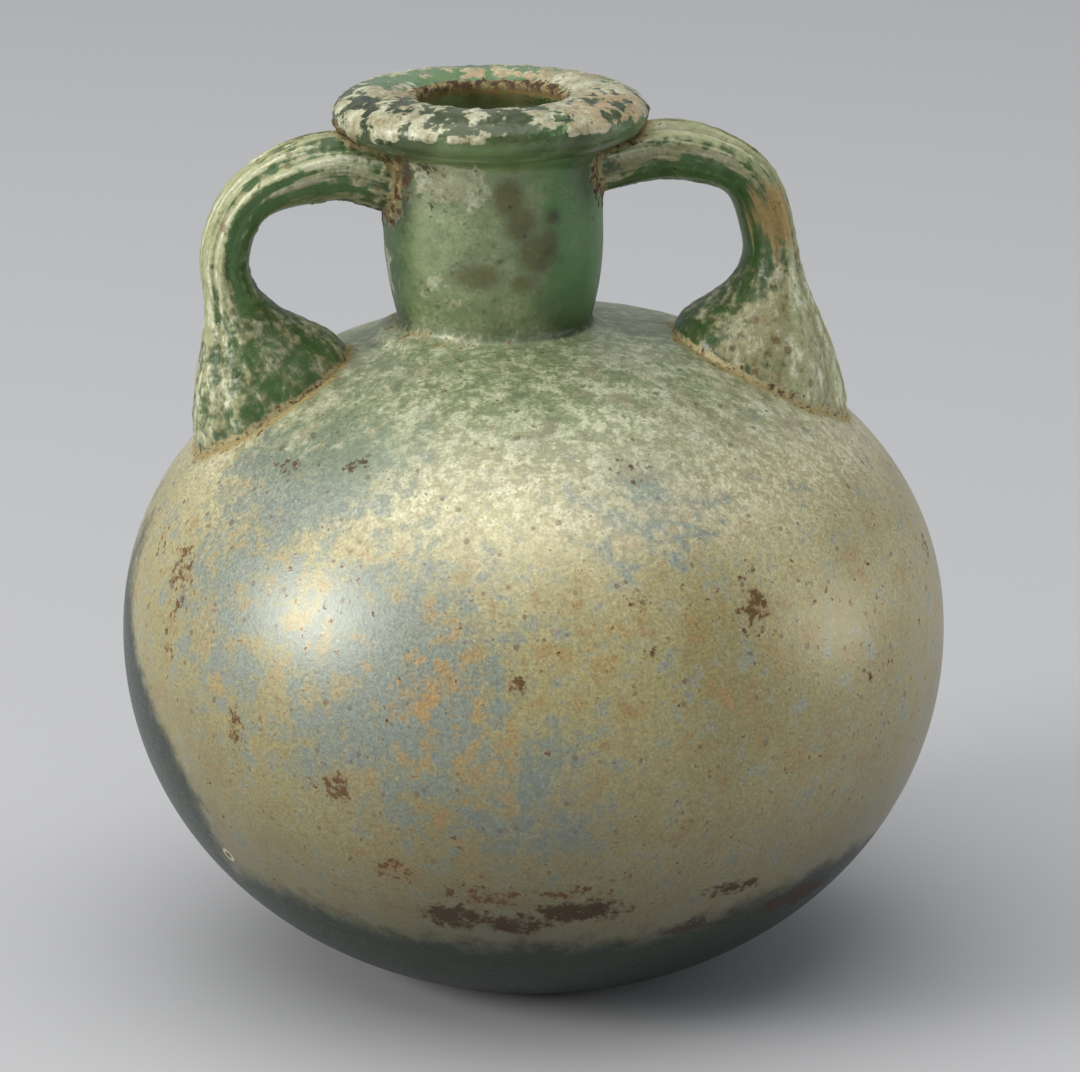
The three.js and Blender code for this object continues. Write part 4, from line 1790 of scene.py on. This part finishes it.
@dataclass(frozen=True)
class HandleFinish(WeatheredFinish):
    """A handle's finish: deep green glass, crust streaked along its reeds and soil at its joins."""

    tones: StrapPalette = StrapPalette()
    streak_cloud: Cloud = Cloud(1.1, 4.0, 0.68)
    fine_cloud: Cloud = Cloud(0.8, 4.0, 0.65)
    grain_cloud: Cloud = Cloud(0.3, 2.0, 0.7)
    light_streak: Ramp = Ramp(0.48, 0.66)
    brown_streak: Ramp = Ramp(0.42, 0.32)
    ochre_reach: Ramp = Ramp(6.5, 1.0)
    ochre_tear: Tear = Tear(3.0, 0.6, 0.3)
    ochre_share: float = 0.85
    ochre_cover: float = 0.9
    valley_reed: Ramp = Ramp(0.45, 0.05, 0.0, 0.45)
    grain_depth: float = 0.9
    crumb_size: float = 1.1
    crumb_share: float = 0.10
    crumb_strength: float = 0.6
    seam_tear: Tear = Tear(2.4, 0.46, 0.2)
    seam_rust: float = 0.55
    foot_way: Ramp = Ramp(2.0, 1.0)
    foot_fine: float = 0.6
    strap_tear: float = 2.8
    foot_tear: float = 1.8
    crust_border: float = 0.50
    crust_edge: float = 0.48
    crust_cover: float = 0.94
    veil_streak: Ramp = Ramp(0.42, 0.70, 0.50, 0.76)
    skin_roughness: Ramp = Ramp(0.3, 0.7, 0.45, 0.7)
    glass_frost: Ramp = Ramp(0.3, 0.8, 0.08, 0.26)

    def material(self) -> bpy.types.Material:
        """Makes the handles' whole material.

        Returns:
            The material.
        """
        made, tree = self.start()
        shelf, tones = self.shelf, self.tones
        place, along = tree.place_mm(), tree.mark(Mark.STRAP, "Vector")
        streaks = tree.clouds(along, self.streak_cloud)
        fine, grain = tree.clouds(place, self.fine_cloud), tree.clouds(place, self.grain_cloud)
        ochre = tree.ramp(tree.reach(place, OCHRE_BEND), self.ochre_reach)
        ochre = shelf.patch(tree, ochre, streaks, self.ochre_tear)
        colour = tree.layers(
            tones.crust_deep,
            (tree.ramp(streaks, self.light_streak), tones.crust_light),
            (tree.ramp(streaks, self.brown_streak), tones.brown_streak),
            (tree.times(ochre, self.ochre_share), tones.ochre),
            (tree.ramp(tree.mark(Mark.REED), self.valley_reed), tones.valley),
        )
        for cloud in (grain, fine):
            colour = tree.use(shelf.grained, colour=colour, grain=cloud, depth=self.grain_depth)
        crumbs = tree.use(shelf.grains, vector=place, size=self.crumb_size, share=self.crumb_share)
        colour = tree.blend(tree.times(crumbs, self.crumb_strength), colour, tones.crumb)

        foot = tree.ramp(tree.height(along), self.foot_way)
        crust = tree.use(shelf.ragged, amount=tree.mark(Mark.CRUST), border=self.crust_border,
                         tear=tree.between(foot, self.strap_tear, self.foot_tear),
                         cloud=tree.between(tree.times(foot, self.foot_fine), streaks, fine),
                         edge=self.crust_edge)
        seam = shelf.patch(tree, tree.mark(Mark.SOIL), fine, self.seam_tear)
        colour = tree.blend(tree.most(crust, ochre), tones.green_veil, colour)
        colour = tree.blend(seam, colour, tree.use(shelf.seam, cloud=fine, share=self.seam_rust))
        cover = tree.most(tree.times(crust, self.crust_cover), tree.ramp(streaks, self.veil_streak),
                          tree.times(ochre, self.ochre_cover), seam)
        self.finish(tree, colour, cover, tree.ramp(grain, self.skin_roughness),
                    tree.ramp(fine, self.glass_frost), self.relief(tree, grain, fine), 0.0)
        return made


# Studio


@dataclass(frozen=True)
class Lamp:
    """A soft square lamp: its place and side in metres, its power in watts and its colour."""

    name: str
    place: tuple[float, float, float]
    size: float
    power: float
    colour: tuple[float, float, float] = (1.0, 0.98, 0.95)


@dataclass
class Studio:
    """Plain pale floor, soft light and the camera at the photograph's viewing angle."""

    aim: Vector = field(default_factory=lambda: Vector((0.66, 0.0, 44.57)) * MM)
    distance: float = 560.0 * MM
    elevation: float = math.radians(16.0)
    sensor_width: float = 36.0
    lens: float = 182.9
    nearest: float = 0.01
    floor_size: float = 6.0
    floor_colour: Colour = (0.50, 0.51, 0.53, 1.0)
    floor_roughness: float = 0.9
    sky_colour: Colour = (0.93, 0.95, 1.0, 1.0)
    sky_strength: float = 0.35
    lamps: tuple[Lamp, ...] = (
        Lamp("window_left", (-0.80, -0.36, 0.36), 0.36, 5.5, (1.0, 0.97, 0.92)),
        Lamp("top_soft", (-0.15, -0.20, 1.2), 1.5, 12.5),
        Lamp("fill_right", (0.95, 0.02, 0.12), 0.3, 1.5),
    )

    def camera(self) -> None:
        """Sets the camera that sees what the photograph saw."""
        data = bpy.data.cameras.new("camera")
        data.sensor_width = self.sensor_width
        data.lens = self.lens
        data.clip_start = self.nearest
        made = bpy.data.objects.new("camera", data)
        bpy.context.scene.collection.objects.link(made)
        back = Vector((0.0, -math.cos(self.elevation), math.sin(self.elevation)))
        made.location = self.aim + back * self.distance
        made.rotation_euler = (-back).to_track_quat("-Z", "Y").to_euler()
        bpy.context.scene.camera = made

    def floor(self) -> bpy.types.Object:
        """Lays the plain floor.

        Returns:
            The floor.
        """
        mesh = bmesh.new()
        bmesh.ops.create_grid(mesh, x_segments=1, y_segments=1, size=self.floor_size / 2)
        made = new_object("studio_floor", mesh)
        paint = bpy.data.materials.new("pale_floor")
        paint.use_nodes = True
        shader = paint.node_tree.nodes["Principled BSDF"]
        shader.inputs["Base Color"].default_value = self.floor_colour
        shader.inputs["Roughness"].default_value = self.floor_roughness
        made.data.materials.append(paint)
        return made

    def hang(self, lamp: Lamp) -> None:
        """Hangs a lamp that points at the flask.

        Args:
            lamp: The lamp.
        """
        data = bpy.data.lights.new(lamp.name, "AREA")
        data.size = lamp.size
        data.energy = lamp.power
        data.color = lamp.colour
        made = bpy.data.objects.new(lamp.name, data)
        bpy.context.scene.collection.objects.link(made)
        made.location = Vector(lamp.place)
        made.rotation_euler = (self.aim - made.location).to_track_quat("-Z", "Y").to_euler()

    def light(self) -> None:
        """Lights the flask softly from above, from the low left and a little from the right."""
        world = bpy.data.worlds.new("studio")
        world.use_nodes = True
        sky = world.node_tree.nodes["Background"]
        sky.inputs["Color"].default_value = self.sky_colour
        sky.inputs["Strength"].default_value = self.sky_strength
        bpy.context.scene.world = world
        for lamp in self.lamps:
            self.hang(lamp)


def new_object(name: str, mesh: bmesh.types.BMesh) -> bpy.types.Object:
    """Makes an object at the origin, smooth-shaded.

    Args:
        name: Name of the object.
        mesh: Its mesh, in place, which is used up.

    Returns:
        The object.
    """
    data = bpy.data.meshes.new(name)
    mesh.to_mesh(data)
    mesh.free()
    data.shade_smooth()
    made = bpy.data.objects.new(name, data)
    bpy.context.scene.collection.objects.link(made)
    return made


def report(piece: bpy.types.Object) -> None:
    """Logs a piece's name and number of faces."""
    LOG.info("%s: %d faces", piece.name, len(piece.data.polygons))


HANDLE_BEDDING = 0.4 * MM


def main() -> None:
    """Builds the studio and the flask's pieces in order and ties them to the frame."""
    logging.basicConfig(level=logging.INFO, format="%(message)s")
    bpy.context.scene.view_settings.view_transform = "Standard"
    studio = Studio()
    studio.camera()
    report(studio.floor())
    studio.light()
    shelf = EffectShelf()

    vessel = BlownVessel()
    vessel_mesh = vessel.turned()
    vessel_skin = BVHTree.FromBMesh(vessel_mesh)
    handles = [left_handle(), right_handle()]
    handle_meshes = [handle.bent(vessel) for handle in handles]
    handle_skins = [BVHTree.FromBMesh(mesh) for mesh in handle_meshes]
    VesselSkin(vessel).weather(vessel_mesh, handle_skins)
    body = new_object("blown_vessel", vessel_mesh)
    body_glass = BodyFinish("weathered_body_glass", BODY_GLASS, shelf,
                            metallic=0.20).material()
    body.data.materials.append(body_glass)
    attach(body, "root")
    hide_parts("flask_vessel")
    report(body)

    handle_glass = HandleFinish("weathered_handle_glass", HANDLE_GLASS, shelf,
                                metallic=0.05).material()
    for handle, mesh in zip(handles, handle_meshes):
        handle.settle(mesh, vessel, HANDLE_BEDDING)
        handle.weather(mesh, vessel, vessel_skin)
        piece = new_object(handle.name, mesh)
        piece.data.materials.append(handle_glass)
        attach(piece, "root")
        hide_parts(handle.node)
        report(piece)


if __name__ == "__main__":
    main()
